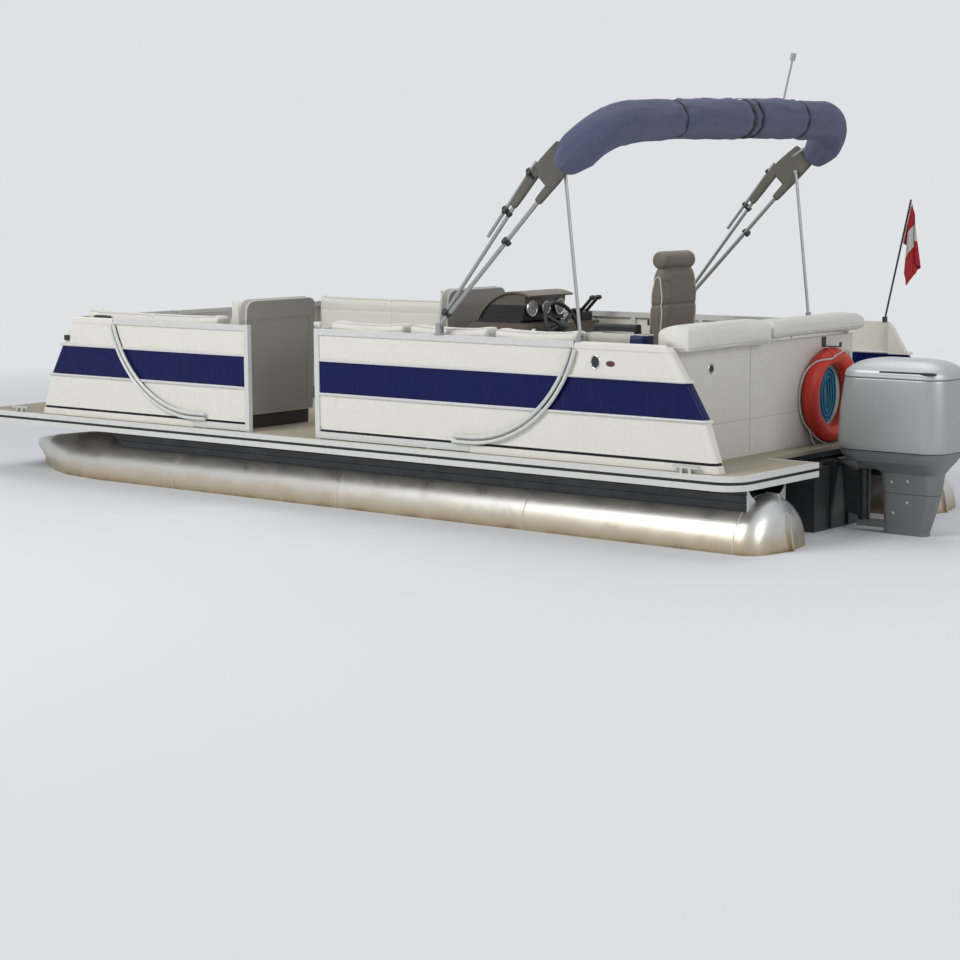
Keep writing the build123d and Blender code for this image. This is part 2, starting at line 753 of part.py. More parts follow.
with BuildPart() as visor:
    with BuildSketch(side_plane(pod_high_y + 16)) as hood:
        with BuildLine():
            outside = hood_arc(hood_radius + hood_sheet, 28, 112)
            inside = hood_arc(hood_radius + 0.4, 112, 28)
            Line(outside @ 1, inside @ 0)
            Line(inside @ 1, outside @ 0)
        make_face()
    extrude(hood.sketch, amount=pod_high_y - pod_low_y + 32)
save(visor.part, "console_visor")

wheel_tilt = 25
wheel_column = 108
wheel_out = (-cos(radians(wheel_tilt)), 0, sin(radians(wheel_tilt)))
wheel_centre = (wheel_x, helm_y, wheel_z)
rim_radius = 14
with BuildPart() as steering_wheel:
    with BuildSketch(Plane(origin=wheel_centre, x_dir=(0, 1, 0), z_dir=wheel_out)) as dish:
        Circle(42)
        for k in range(3):
            with PolarLocations(wheel_radius / 2, 1, start_angle=90 + 120 * k):
                Rectangle(wheel_radius, 22)
    extrude(dish.sketch, amount=8, both=True)
    hub_back = Vector(*wheel_centre) - Vector(*wheel_out) * wheel_column
    rod(hub_back, wheel_centre, 20)
    rim_start = Vector(*wheel_centre) + Vector(0, wheel_radius, 0)
    with BuildSketch(
        Plane(origin=rim_start, x_dir=wheel_out, z_dir=Vector(*wheel_out).cross(Vector(0, 1, 0)))
    ) as rim:
        Circle(rim_radius)
    revolve(rim.sketch, axis=Axis(wheel_centre, wheel_out))
save(steering_wheel.part, "steering_wheel")

with BuildPart() as levers:
    lever_y = console_low_y + 140
    side_slab([(-418, 1042.8), (-335, 1073.4), (-335, 1125), (-418, 1100)], lever_y - 70, lever_y + 50)
    for shift in (-35, 30):
        rod((-380, lever_y + shift, 1090), (-490, lever_y + shift, 1200), 8)
        rod((-490, lever_y + shift - 28, 1200), (-490, lever_y + shift + 12, 1200), 14)
save(levers.part, "control_levers")

# Captain's chair on its pedestal
chair_seat_z = 850
with BuildPart() as pedestal:
    rod((chair_x, helm_y, deck_top), (chair_x, helm_y, deck_top + 14), 165)
    rod((chair_x, helm_y, deck_top + 14), (chair_x, helm_y, chair_seat_z - 40), 38)
save(pedestal.part, "chair_pedestal")

with BuildPart() as chair_frame:
    rod((chair_x, helm_y, chair_seat_z - 39.6), (chair_x, helm_y, chair_seat_z - 12), 60)
    block(chair_x - 190, chair_x + 170, helm_y - 170, helm_y + 170, chair_seat_z - 12, chair_seat_z - 0.4)
    for side in (1, -1):
        low_y, high_y = sorted((helm_y + side * 265, helm_y + side * 325))
        with BuildPart(mode=Mode.PRIVATE) as arm:
            block(chair_x - 180, chair_x + 150, low_y, high_y, chair_seat_z + 190, chair_seat_z + 235)
            fillet(arm.edges().filter_by(Axis.X).group_by(Axis.Z)[-1], radius=16)
            fillet(arm.edges().filter_by(Axis.Y).group_by(Axis.X)[-1], radius=14)
        add(arm.part)
        low_y, high_y = sorted((helm_y + side * 150, helm_y + side * 300))
        block(chair_x - 190, chair_x - 150, low_y, high_y, chair_seat_z - 12, chair_seat_z - 0.4)
        low_y, high_y = sorted((helm_y + side * 275, helm_y + side * 300))
        block(chair_x - 190, chair_x - 150, low_y, high_y, chair_seat_z - 12, chair_seat_z + 195)
save(chair_frame.part, "chair_frame")

with BuildPart() as chair:
    cushion(chair_x - 190, chair_x + 250, helm_y - 250, helm_y + 250, chair_seat_z, chair_seat_z + 110, 40)
    back = [
        (chair_x - 193, chair_seat_z + 20), (chair_x - 160, chair_seat_z + 111),
        (chair_x - 205, chair_seat_z + 590), (chair_x - 300, chair_seat_z + 590),
        (chair_x - 290, chair_seat_z + 20),
    ]
    with BuildPart(mode=Mode.PRIVATE) as chair_back:
        side_slab(back, helm_y - 235, helm_y + 235)
        upright = chair_back.edges().filter_by(
            lambda e: abs(abs(e.center().Y - helm_y) - 235) < 0.5 and abs(e.tangent_at(0.5).Z) > 0.9
        )
        fillet(upright, radius=26)
    add(chair_back.part)
    rod(
        (chair_x - 245, helm_y - 175, chair_seat_z + 632),
        (chair_x - 245, helm_y + 175, chair_seat_z + 632), 62,
    )
save(chair.part, "captains_chair")


# Folded top: a hinged arch, the folded bow's legs beside it, its canvas boot and two rear struts
lean = radians(arch_angle)
arch_plane = Plane(origin=(pivot_x, 0, pivot_z), x_dir=(0, 1, 0), z_dir=(sin(lean), 0, cos(lean)))
shoulders = {1: shoulder_reach - arch_rack, -1: shoulder_reach + arch_rack}


def arch_place(reach, y, lift=0.0):
    """A point of the arch: its distance from the pivots, its width and a lift off the arch's plane."""
    return (
        pivot_x - reach * cos(lean) + lift * sin(lean), y, pivot_z + reach * sin(lean) + lift * cos(lean),
    )


def bent_tube(plane, points, bends, radius):
    """A tube along straight runs and arcs drawn on a plane."""
    with BuildLine(plane) as route:
        FilletPolyline(*points, radius=bends)
    with BuildSketch(Plane(origin=route.line @ 0, z_dir=route.line % 0)) as ring:
        Circle(radius)
    return sweep(ring.sketch, path=route.line, mode=Mode.PRIVATE)


arch_line = [
    (leg_y, 0), (leg_y, knee_reach), (arch_half, shoulders[1]), (0, arch_crown),
    (-arch_half, shoulders[-1]), (-leg_y, knee_reach), (-leg_y, 0),
]
arch_bends = [600, shoulder_bend, crown_bend, shoulder_bend, 600]
boot_line = [
    ((leg_y + arch_half) / 2 + 8, 1280), (arch_half, shoulders[1]), (0, arch_crown),
    (-arch_half, shoulders[-1]), (-(leg_y + arch_half) / 2 - 10, 1350),
]
side_legs = [  # reach, lift off the arch's plane: the folded bow's leg and the loose brace tube
    ([(95, 24), (1170, 128), (1400, 66)], 11, 160),
    ([(620, 112), (1160, 163)], 10, 1),
]

clamps = [(96, -14, 38), (820, 82, 144), (1088, 106, 172), (700, -26, 18)]  # reach, lift from, lift to


def side_leg(side, run, radius, bend):
    """A tube beside one leg of the arch."""
    plane = Plane(
        origin=(pivot_x, side * leg_y, pivot_z), x_dir=(-cos(lean), 0, sin(lean)), z_dir=(0, 1, 0)
    )
    if len(run) == 2:
        start, end = (arch_place(reach, side * leg_y, lift) for reach, lift in run)
        with BuildPart(mode=Mode.PRIVATE) as straight:
            rod(start, end, radius)
        return straight.part
    return bent_tube(plane, run, bend, radius)


with BuildPart() as arch:
    add(bent_tube(arch_plane, arch_line, arch_bends, bow_tube_radius))
    for side in (1, -1):
        y = side * leg_y
        for run, radius, bend in side_legs:
            add(side_leg(side, run, radius, bend))
        for reach, low, high in clamps:
            rod(arch_place(reach, y + 4 * side, low), arch_place(reach, y + 4 * side, high), 15)
        bolt_low, bolt_high = sorted((side * (strut_y + 15), side * (leg_y + 20)))
        eye = arch_place(eye_reach, 0)
        rod((eye[0], bolt_low, eye[2]), (eye[0], bolt_high, eye[2]), 7)
        rod((pivot_x, y - 12, pivot_z), (pivot_x, y + 12, pivot_z), 15)
        rod((pivot_x, y - 30, pivot_z), (pivot_x, y + 30, pivot_z), 5.05, Mode.SUBTRACT)
save(arch.part, "bimini_frame")

mast_y = -490
mast_reach = arch_crown + (shoulders[-1] - arch_crown) * abs(mast_y) / arch_half
mast_foot = Vector(*arch_place(mast_reach, mast_y))
mast_way = Vector(-0.24, 0, 0.97)
mast_height = 390
with BuildPart() as boot:
    add(bent_tube(arch_plane, boot_line, [shoulder_bend, crown_bend, shoulder_bend], boot_radius))
    add(bent_tube(arch_plane, arch_line, arch_bends, bow_tube_radius + 0.3), mode=Mode.SUBTRACT)
    for side in (1, -1):
        run, radius, bend = side_legs[0]
        add(side_leg(side, run, radius + 0.3, bend), mode=Mode.SUBTRACT)
    rod(mast_foot, mast_foot + mast_way * 2 * boot_radius, 6.5, Mode.SUBTRACT)
save(boot.part, "bimini_boot")

with BuildPart() as rail_mounts:
    for side in (1, -1):
        y = side * leg_y
        block(pivot_x - 30, pivot_x + 30, y - 20, y + 20, rail_top, rail_top + 8)
        for cheek in (-1, 1):
            low_y, high_y = sorted((y + cheek * 13, y + cheek * 19))
            block(pivot_x - 16, pivot_x + 16, low_y, high_y, rail_top, pivot_z + 16)
        rod((pivot_x, y - 19, pivot_z), (pivot_x, y + 19, pivot_z), 5)
        foot_y = side * strut_y
        low_y, high_y = sorted((side * (strut_y - 16), side * fence_y))
        block(strut_foot_x - 22, strut_foot_x + 22, low_y, high_y, rail_top, rail_top + 6)
        for cheek in (-1, 1):
            low_y, high_y = sorted((foot_y + cheek * 10, foot_y + cheek * 14))
            block(strut_foot_x - 11, strut_foot_x + 11, low_y, high_y, rail_top, strut_foot_z + 11)
        rod((strut_foot_x, foot_y - 14, strut_foot_z), (strut_foot_x, foot_y + 14, strut_foot_z), 4)
save(rail_mounts.part, "bimini_rail_mounts")


def rear_strut(side):
    y = side * strut_y
    eye_x, _, eye_z = arch_place(eye_reach, 0)
    with BuildPart() as strut:
        rod((strut_foot_x, y, strut_foot_z), (eye_x, y, eye_z), strut_radius - 0.5)
        rod((strut_foot_x, y - 9, strut_foot_z), (strut_foot_x, y + 9, strut_foot_z), 11)
        rod(
            (strut_foot_x, y - 20, strut_foot_z), (strut_foot_x, y + 20, strut_foot_z), 4.05,
            Mode.SUBTRACT,
        )
        rod((eye_x, y - 9, eye_z), (eye_x, y + 9, eye_z), 13)
    return strut.part


save(rear_strut(1), "port_rear_strut")
save(rear_strut(-1), "starboard_rear_strut")

with BuildPart() as mast_light:
    rod(mast_foot + mast_way * (bow_tube_radius + 2), mast_foot + mast_way * mast_height, 6)
    rod(mast_foot + mast_way * (mast_height - 45), mast_foot + mast_way * mast_height, 16)
save(mast_light.part, "anchor_light")


# Outboard: clamp, swivel bracket, powerhead, cowl, leg and propeller
clamp_half = 110
tilt_tube_radius = 15
with BuildPart() as clamp:
    for side in (1, -1):
        low_y, high_y = sorted((side * (clamp_half - 22), side * clamp_half))
        cheek = [
            (transom_x - 0.3, transom_top + 0.3), (transom_x + 44, transom_top + 0.3),
            (transom_x + 44, transom_top + 14), (tilt_x, tilt_z + 18), (tilt_x - 18, tilt_z),
            (tilt_x - 12, tilt_z - 30), (transom_x - 14, 120), (transom_x - 14, 10), (transom_x - 0.3, 10),
        ]
        side_slab(cheek, low_y, high_y)
    rod((tilt_x, -clamp_half - 14, tilt_z), (tilt_x, clamp_half + 14, tilt_z), tilt_tube_radius)
save(clamp.part, "transom_clamp")

swivel_half = clamp_half - 28
swivel_low, swivel_high = 70, 352
with BuildPart() as swivel:
    rod((tilt_x, -swivel_half, tilt_z), (tilt_x, swivel_half, tilt_z), 26)
    web = [
        (tilt_x - 5, tilt_z + 20), (tilt_x - 22, tilt_z + 4), (steer_x + 30, swivel_high - 8),
        (steer_x, swivel_high - 8), (steer_x, swivel_low + 20), (tilt_x - 40, swivel_low + 40),
        (tilt_x - 22, tilt_z - 30),
    ]
    side_slab(web, -swivel_half + 20, swivel_half - 20)
    rod((steer_x, 0, swivel_low), (steer_x, 0, swivel_high), 34)
    rod((steer_x, 0, swivel_low - 5), (steer_x, 0, swivel_high + 5), 16.1, Mode.SUBTRACT)
    rod(
        (tilt_x, -swivel_half - 5, tilt_z), (tilt_x, swivel_half + 5, tilt_z), tilt_tube_radius + 0.1,
        Mode.SUBTRACT,
    )
save(swivel.part, "swivel_bracket")

cowl_levels = [  # height, setback of the front, of the back and of each side
    (cowl_low, 0, 6, 4), (540, -4, 0, 0), (690, 4, 0, 0), (800, 18, 6, 4), (lid_low - 4, 34, 14, 11),
]
lid_levels = [
    (lid_low, 36, 16, 13), (912, 46, 24, 18), (940, 68, 42, 32), (962, 100, 72, 56),
    (978, 150, 118, 92), (986, 215, 180, 138),
]


def cowl_rings(levels, skin=0.0):
    """A ruled tower of rounded rectangles, drawn in by a skin thickness."""
    with BuildPart(mode=Mode.PRIVATE) as tower:
        for z, front, back, inset in levels:
            middle = cowl_front_x - cowl_length / 2 + (back - front) / 2
            half = cowl_half_width - inset
            with BuildSketch(Plane.XY.offset(z)):
                with Locations((middle, 0)):
                    RectangleRounded(
                        cowl_length - front - back - 2 * skin, 2 * (half - skin), 0.66 * (half - skin)
                    )
        loft(ruled=True)
    return tower.part


cowl_skin = 6
slot_front, slot_back = cowl_front_x - cowl_length + 399, cowl_front_x - cowl_length + 35
slot = [(slot_front, 922), (slot_back, 926), (slot_back, 942), (slot_front, 938)]
with BuildPart() as cowl:
    add(cowl_rings(cowl_levels))
    add(cowl_rings([(lid_low - 4, 40, 20, 17), (lid_low, 40, 20, 17)]))
    add(cowl_rings(lid_levels))
    add(cowl_rings(cowl_levels[:-1], cowl_skin), mode=Mode.SUBTRACT)
    for side in (1, -1):
        low_y, high_y = sorted((side * (cowl_half_width - 42), side * cowl_half_width))
        side_slab(slot, low_y, high_y, Mode.SUBTRACT)
save(cowl.part, "outboard_cowl")

with BuildPart() as powerhead:
    centre = cowl_front_x - cowl_length / 2
    half_length, half_breadth = cowl_length / 2 - 142.5, cowl_half_width - 70
    block(centre - half_length, centre + half_length, -half_breadth, half_breadth, cowl_low + 0.3, 780)
save(powerhead.part, "outboard_powerhead")

leg_front = steer_x - 118
leg_levels = [  # height, setback of the front, length, half width
    (pan_low + 30, 0, 372, 88), (250, 12, 345, 66), (110, 20, 300, 52), (20, 22, 268, 45),
    (-150, 20, 270, 38), (prop_z + 20, 26, 235, 28),
]
pan_levels = [
    (cowl_low - 0.3, 2, 8, 8), (446, 14, 26, 20), (pan_front_low - 10, 46, 46, 40),
    (385, 172, 70, 78), (pan_low, 235, 92, 116),
]
torpedo = [(-370, 43), (-200, 53), (-100, 47), (-40, 30), (-5, 10)]
with BuildPart() as leg:
    add(cowl_rings(pan_levels))
    with BuildPart(mode=Mode.PRIVATE) as casing:
        for z, setback, length, half in leg_levels:
            with BuildSketch(Plane.XY.offset(z)):
                with Locations((leg_front - setback - length / 2, 0)):
                    RectangleRounded(length, 2 * half, 0.8 * half)
        loft(ruled=True)
    add(casing.part)
    rod((steer_x, 0, swivel_low - 40), (steer_x, 0, pan_front_low + 4), 16)
    block(leg_front - 80, steer_x + 25, -40, 40, swivel_low - 40, swivel_low - 6)
    block(leg_front - 60, steer_x + 25, -40, 40, swivel_high + 6, pan_front_low + 2)
    plate = [(0, -142), (-470, -142), (-470, -130), (0, -130)]
    with BuildPart(mode=Mode.PRIVATE) as cavitation_plate:
        side_slab([(leg_front + 30 + x, z) for x, z in plate], -95, 95)
        fillet(cavitation_plate.edges().filter_by(Axis.Z).group_by(Axis.X)[0], radius=80)
        fillet(cavitation_plate.edges().filter_by(Axis.Z).group_by(Axis.X)[-1], radius=60)
    add(cavitation_plate.part)
    with BuildPart(mode=Mode.PRIVATE) as gear_case:
        for x, radius in torpedo:
            place = (leg_front + 40 + x, 0, prop_z)
            with BuildSketch(Plane(origin=place, x_dir=(0, 1, 0), z_dir=(1, 0, 0))):
                Circle(radius)
        loft(ruled=True)
    add(gear_case.part)
    skeg = [(-75, prop_z - 40), (-290, prop_z - 40), (-302, -560), (-222, -560)]
    side_slab([(leg_front + x, z) for x, z in skeg], -7, 7)
save(leg.part, "outboard_leg")

blade_tilt = 28
with BuildPart() as propeller:
    rod((leg_front - 336, 0, prop_z), (leg_front - 448, 0, prop_z), 42)
    for k in range(3):
        turn = radians(120 * k)
        outward = Vector(0, sin(turn), cos(turn))
        along = Vector(1, 0, 0)
        swing = outward.cross(along)
        face = along * cos(radians(90 - blade_tilt)) + swing * sin(radians(90 - blade_tilt))
        origin = Vector(leg_front - 392, 0, prop_z) + outward * 38
        with BuildSketch(Plane(origin=origin, x_dir=outward, z_dir=outward.cross(face))) as blade:
            with BuildLine():
                ThreePointArc((-6, -42), (76, -76), (122, -20))
                ThreePointArc((122, -20), (116, 38), (68, 62))
                ThreePointArc((68, 62), (30, 56), (-6, 38))
                Line((-6, 38), (-6, -42))
            make_face()
        extrude(blade.sketch, amount=3.5, both=True)
save(propeller.part, "propeller")


# Lifebuoy, its hook, a tow rope, the flag and small fittings
buoy_y, buoy_z = -398, 715
buoy_ring, buoy_tube = 228, 52
buoy_x = stern_wall_x - buoy_tube - 0.4
with BuildPart() as lifebuoy:
    with BuildSketch(side_plane(buoy_y)) as ring:
        with Locations((buoy_x, buoy_z + buoy_ring)):
            Circle(buoy_tube)
    revolve(ring.sketch, axis=Axis((buoy_x, buoy_y, buoy_z), (1, 0, 0)))
save(lifebuoy.part, "lifebuoy")

with BuildPart() as hook:
    top_z = buoy_z + buoy_ring + buoy_tube + 12
    block(stern_wall_x - 5, stern_wall_x - 0.3, buoy_y - 22, buoy_y + 22, top_z - 10, wall_top - 4)
    block(stern_wall_x - 2 * buoy_tube - 8, stern_wall_x - 3, buoy_y - 8, buoy_y + 8, top_z - 10, top_z - 4)
    block(
        stern_wall_x - 2 * buoy_tube - 14, stern_wall_x - 2 * buoy_tube - 6, buoy_y - 8, buoy_y + 8,
        top_z - 10, top_z + 20,
    )
save(hook.part, "lifebuoy_hook")

with BuildPart() as rope:
    hank_plane = Plane(origin=(stern_wall_x - 0.4, buoy_y, buoy_z), x_dir=(0, 1, 0), z_dir=(-1, 0, 0))
    with BuildSketch(hank_plane) as hank:
        Ellipse(95, 165)
        Ellipse(45, 110, mode=Mode.SUBTRACT)
    extrude(hank.sketch, amount=42)
save(rope.part, "tow_rope")

staff_foot = (stern_wall_x + 45, -fence_y + wing_thickness / 2, rail_top + 0.3)
staff_head = (stern_wall_x - 120, -fence_y + wing_thickness / 2, 1850)
with BuildPart() as flagstaff:
    rod(staff_foot, (staff_foot[0], staff_foot[1], rail_top + 30), 16)
    rod((staff_foot[0], staff_foot[1], rail_top + 15), staff_head, 6)
save(flagstaff.part, "flagstaff")

with BuildPart() as flag:
    cloth = [(-3, 1835), (58.8, 1560), (-10, 1335), (-75, 1350), (-52, 1800)]
    side_slab([(staff_head[0] + x, z) for x, z in cloth], staff_foot[1] - 16, staff_foot[1] + 16)
save(flag.part, "flag")

light_x, light_z = bow_wall_x + 48, 958
with BuildPart() as fittings:
    for side in (1, -1):
        low_y, high_y = sorted((side * (fence_y - 3.7), side * (fence_y + 12)))
        block(light_x - 20, light_x + 20, low_y, high_y, light_z - 17, light_z + 17)
save(fittings.part, "nav_lights")

cleat_y = beam / 2 - 24
with BuildPart() as cleats:
    for x in (stern_x + 335, bow_x - 425):
        for side in (1, -1):
            y = side * cleat_y
            for dx in (-28, 28):
                block(x + dx - 8, x + dx + 8, y - 9, y + 9, deck_top + 0.3, deck_top + 32)
            block(x - 85, x + 85, y - 8, y + 8, deck_top + 26, deck_top + 38)
save(cleats.part, "cleats")
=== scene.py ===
import math

import bmesh
import bpy
from bpy.props import FloatProperty, FloatVectorProperty, PointerProperty
from mathutils import Matrix, Vector, noise
from mathutils.bvhtree import BVHTree


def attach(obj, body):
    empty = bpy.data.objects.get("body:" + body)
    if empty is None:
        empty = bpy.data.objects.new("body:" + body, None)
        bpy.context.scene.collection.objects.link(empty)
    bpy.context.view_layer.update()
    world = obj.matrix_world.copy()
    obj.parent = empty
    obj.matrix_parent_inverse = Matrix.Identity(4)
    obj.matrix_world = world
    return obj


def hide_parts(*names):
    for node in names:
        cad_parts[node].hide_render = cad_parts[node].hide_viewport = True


bl_info = {
    "name": "Pontoon Boat Finisher",
    "version": (1, 0, 0),
    "blender": (4, 5, 0),
    "location": "3D View > Sidebar > Pontoon Boat",
    "description": "Finishes, soft goods, small fittings and a studio for a pontoon boat",
    "category": "Object",
}

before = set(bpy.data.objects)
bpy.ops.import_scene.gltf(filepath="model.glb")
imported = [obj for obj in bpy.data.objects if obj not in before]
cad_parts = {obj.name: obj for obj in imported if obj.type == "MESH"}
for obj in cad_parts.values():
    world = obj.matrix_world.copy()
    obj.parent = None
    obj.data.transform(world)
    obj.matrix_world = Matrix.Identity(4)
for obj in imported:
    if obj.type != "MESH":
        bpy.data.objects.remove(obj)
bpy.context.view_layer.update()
MATERIALS = {}
PALE = (0.74, 0.76, 0.78)
BLACK = (0.012, 0.012, 0.013)
SIDES = ((1, "port"), (-1, "starboard"))
MOULDINGS = tuple(f"{label}_{end}_moulding" for end in ("stern", "bow") for side, label in SIDES)


# Sizes and colours that a user would change

def colour(name, description, default):
    """A colour in the sidebar."""
    return FloatVectorProperty(
        name=name, description=description, subtype="COLOR", size=3, default=default, min=0, max=1,
    )


class HullSettings(bpy.types.PropertyGroup):
    """Colours of the metal and moulded parts."""

    cream: colour("Moulding", "Gel coat of the corner mouldings and walls", (0.88, 0.85, 0.76))
    navy: colour("Band", "Coloured band round the fence", (0.0015, 0.005, 0.078))
    deck: colour("Deck", "Woven deck covering", (0.50, 0.44, 0.34))
    metal: colour("Tubes", "Bare aluminium of the pontoons", (0.70, 0.71, 0.71))
    motor: colour("Motor", "Metallic paint of the outboard", (0.42, 0.44, 0.44))


class SoftSettings(bpy.types.PropertyGroup):
    """Sizes and colours of the soft goods."""

    vinyl: colour("Vinyl", "Cream vinyl of the lounges", (0.84, 0.82, 0.75))
    chair: colour("Chair", "Taupe vinyl of the helm chair", (0.20, 0.175, 0.135))
    canvas: colour("Canvas", "Blue-grey canvas of the folded top", (0.145, 0.170, 0.290))
    piping: FloatProperty(
        name="Piping", description="Radius of the welt along the cushion seams",
        default=0.0045, min=0.002, max=0.01, subtype="DISTANCE",
    )
    crown: FloatProperty(
        name="Crown", description="How far a cushion swells at its middle",
        default=0.018, min=0, max=0.05, subtype="DISTANCE",
    )


class StudioSettings(bpy.types.PropertyGroup):
    """Camera and light of the studio."""

    camera_place: FloatVectorProperty(
        name="Camera", description="Where the camera stands",
        subtype="TRANSLATION", size=3, default=(-9.229, 10.884, 1.944),
    )
    yaw: FloatProperty(
        name="Yaw", description="Direction of view in plan, from +X", subtype="ANGLE", default=-0.885979588,
    )
    pitch: FloatProperty(
        name="Pitch", description="Direction of view above the horizon",
        subtype="ANGLE", default=-0.133221753,
    )
    roll: FloatProperty(
        name="Roll", description="Turn about the direction of view", subtype="ANGLE", default=0.00639603,
    )
    focal: FloatProperty(
        name="Focal length", description="Lens on a 36 mm sensor", default=82.0545, min=10, max=300,
        subtype="DISTANCE_CAMERA",
    )
    key_power: FloatProperty(
        name="Key light", description="Power of the large side light", default=1000, min=0, subtype="POWER",
    )
    floor_half: FloatProperty(
        name="Floor", description="Half the floor's width", default=60, min=5, subtype="DISTANCE",
    )


# Shader groups shared by the finishes

def chain(tree, kind, links=(), **values):
    """Adds a node, sets its properties and default inputs, and links sockets into it."""
    node = tree.nodes.new(kind)
    for key, value in values.items():
        if hasattr(node, key):
            setattr(node, key, value)
        else:
            node.inputs[key.replace("_", " ")].default_value = value
    for socket, source in links:
        tree.links.new(source, node.inputs[socket])
    return node


def reckon(tree, operation, *terms):
    """The output of a Math node over terms that are sockets or numbers."""
    node = chain(tree, "ShaderNodeMath", operation=operation)
    for slot, term in zip(node.inputs, terms):
        if isinstance(term, bpy.types.NodeSocket):
            tree.links.new(term, slot)
        else:
            slot.default_value = term
    return node.outputs[0]


def ramp(tree, source, low, high):
    """A value from nought at low to one at high."""
    node = chain(
        tree, "ShaderNodeMapRange", [("Value", source)], From_Min=low, From_Max=high, To_Min=0.0, To_Max=1.0,
    )
    return node.outputs["Result"]


def seen_rays(tree):
    """One for rays from the camera, straight, mirrored or through glass."""
    path = chain(tree, "ShaderNodeLightPath").outputs
    rays = path["Is Camera Ray"]
    for kind in ("Is Glossy Ray", "Is Transmission Ray"):
        rays = reckon(tree, "MAXIMUM", rays, path[kind])
    return rays


def shader_group(name, inputs, build):
    """A node group with number inputs; build returns its outputs by name."""
    tree = bpy.data.node_groups.new(name, "ShaderNodeTree")
    for label, value in inputs:
        tree.interface.new_socket(label, in_out="INPUT", socket_type="NodeSocketFloat").default_value = value
    start = tree.nodes.new("NodeGroupInput")
    made = build(tree, start.outputs)
    for label in made:
        tree.interface.new_socket(label, in_out="OUTPUT", socket_type="NodeSocketFloat")
    end = tree.nodes.new("NodeGroupOutput")
    for label, socket in made.items():
        tree.links.new(socket, end.inputs[label])
    return tree


def stretched(tree, start, stretch):
    """Object coordinates scaled by the group's Scale and by a stretch for each axis."""
    place = chain(tree, "ShaderNodeTexCoord")
    size = chain(tree, "ShaderNodeVectorMath", [(0, place.outputs["Object"])], operation="MULTIPLY")
    size.inputs[1].default_value = stretch
    scaled = chain(
        tree, "ShaderNodeVectorMath", [(0, size.outputs[0]), ("Scale", start["Scale"])], operation="SCALE",
    )
    return scaled.outputs[0]


def cloud(tree, spot, **values):
    """The value of a noise texture."""
    return chain(tree, "ShaderNodeTexNoise", [("Vector", spot)], **values).outputs["Fac"]


def drift(tree, start):
    """Soft, cloudy change of tone."""
    return {"Mask": cloud(tree, stretched(tree, start, (1, 1, 1)), Detail=6.0, Roughness=0.6)}


def runs(tree, start):
    """Narrow marks that run downward, as rain and dirt leave them."""
    streak = cloud(tree, stretched(tree, start, (1, 1, 0.07)), Detail=5.0, Roughness=0.7)
    return {"Mask": ramp(tree, streak, 0.52, 0.80)}


def grain(tree, start):
    """Pebbled leather grain for vinyl."""
    spot = stretched(tree, start, (1, 1, 1))
    cell = chain(tree, "ShaderNodeTexVoronoi", [("Vector", spot)], feature="SMOOTH_F1", Randomness=0.9)
    fine = cloud(tree, spot, Scale=1.7, Detail=3.0)
    return {"Height": reckon(tree, "ADD", cell.outputs["Distance"], fine), "Mask": fine}


def weave(tree, start):
    """Plain weave of crossing threads."""
    spot = stretched(tree, start, (1, 1, 1))
    threads = [
        chain(
            tree, "ShaderNodeTexWave", [("Vector", spot)], bands_direction=axis, Scale=1.0, Distortion=0.6,
            Detail=1.0,
        ).outputs["Fac"]
        for axis in ("X", "Y", "Z")
    ]
    crossed = reckon(tree, "MULTIPLY", threads[0], threads[1])
    patches = cloud(tree, spot, Scale=0.05, Detail=4.0)
    return {"Height": reckon(tree, "ADD", crossed, threads[2]), "Mask": patches}


def brush(tree, start):
    """Fine scratches along the boat, as on rolled sheet metal."""
    line = cloud(tree, stretched(tree, start, (0.03, 1, 1)), Detail=8.0, Roughness=0.75)
    return {"Height": line, "Mask": line}


def peel(tree, start):
    """The faint waviness of sprayed or moulded surfaces."""
    spot = stretched(tree, start, (1, 1, 1))
    return {
        "Height": cloud(tree, spot, Detail=2.0, Roughness=0.4),
        "Mask": cloud(tree, spot, Scale=12.0, Detail=3.0),
    }


def height_of(tree):
    """Object coordinates, and the height alone."""
    place = chain(tree, "ShaderNodeTexCoord").outputs["Object"]
    return place, chain(tree, "ShaderNodeSeparateXYZ", [(0, place)]).outputs["Z"]


def band(tree, start):
    """One where the height lies between two levels, else nought."""
    place, height = height_of(tree)
    above = reckon(tree, "GREATER_THAN", height, start["Low"])
    below = reckon(tree, "LESS_THAN", height, start["High"])
    return {"Mask": reckon(tree, "MULTIPLY", above, below)}


def tide(tree, start):
    """The stain that water leaves: one below the Low level, fading to nought at the High one."""
    place, height = height_of(tree)
    level = reckon(tree, "MULTIPLY_ADD", cloud(tree, place, Scale=7.0, Detail=5.0), 0.07, height)
    fade = chain(
        tree, "ShaderNodeMapRange",
        [("Value", level), ("From Min", start["High"]), ("From Max", start["Low"])],
        To_Min=0.0, To_Max=1.0,
    )
    return {"Mask": fade.outputs["Result"]}


EFFECTS = {  # name and inputs of each group, and what builds it
    "drift": ("Tone drift", [("Scale", 3.0)], drift),
    "runs": ("Water runs", [("Scale", 9.0)], runs),
    "grain": ("Vinyl grain", [("Scale", 420.0)], grain),
    "weave": ("Canvas weave", [("Scale", 260.0)], weave),
    "brush": ("Brushed metal", [("Scale", 60.0)], brush),
    "peel": ("Sprayed skin", [("Scale", 90.0)], peel),
    "band": ("Height band", [("Low", 0.7), ("High", 0.9)], band),
    "tide": ("Water stain", [("Low", 0.0), ("High", 0.08)], tide),
}


def effect(tree, key, **values):
    """Places a shared effect, building its group the first time."""
    node = tree.nodes.new("ShaderNodeGroup")
    name = EFFECTS[key][0]
    node.node_tree = bpy.data.node_groups.get(name) or shader_group(*EFFECTS[key])
    for label, value in values.items():
        node.inputs[label].default_value = value
    return node.outputs


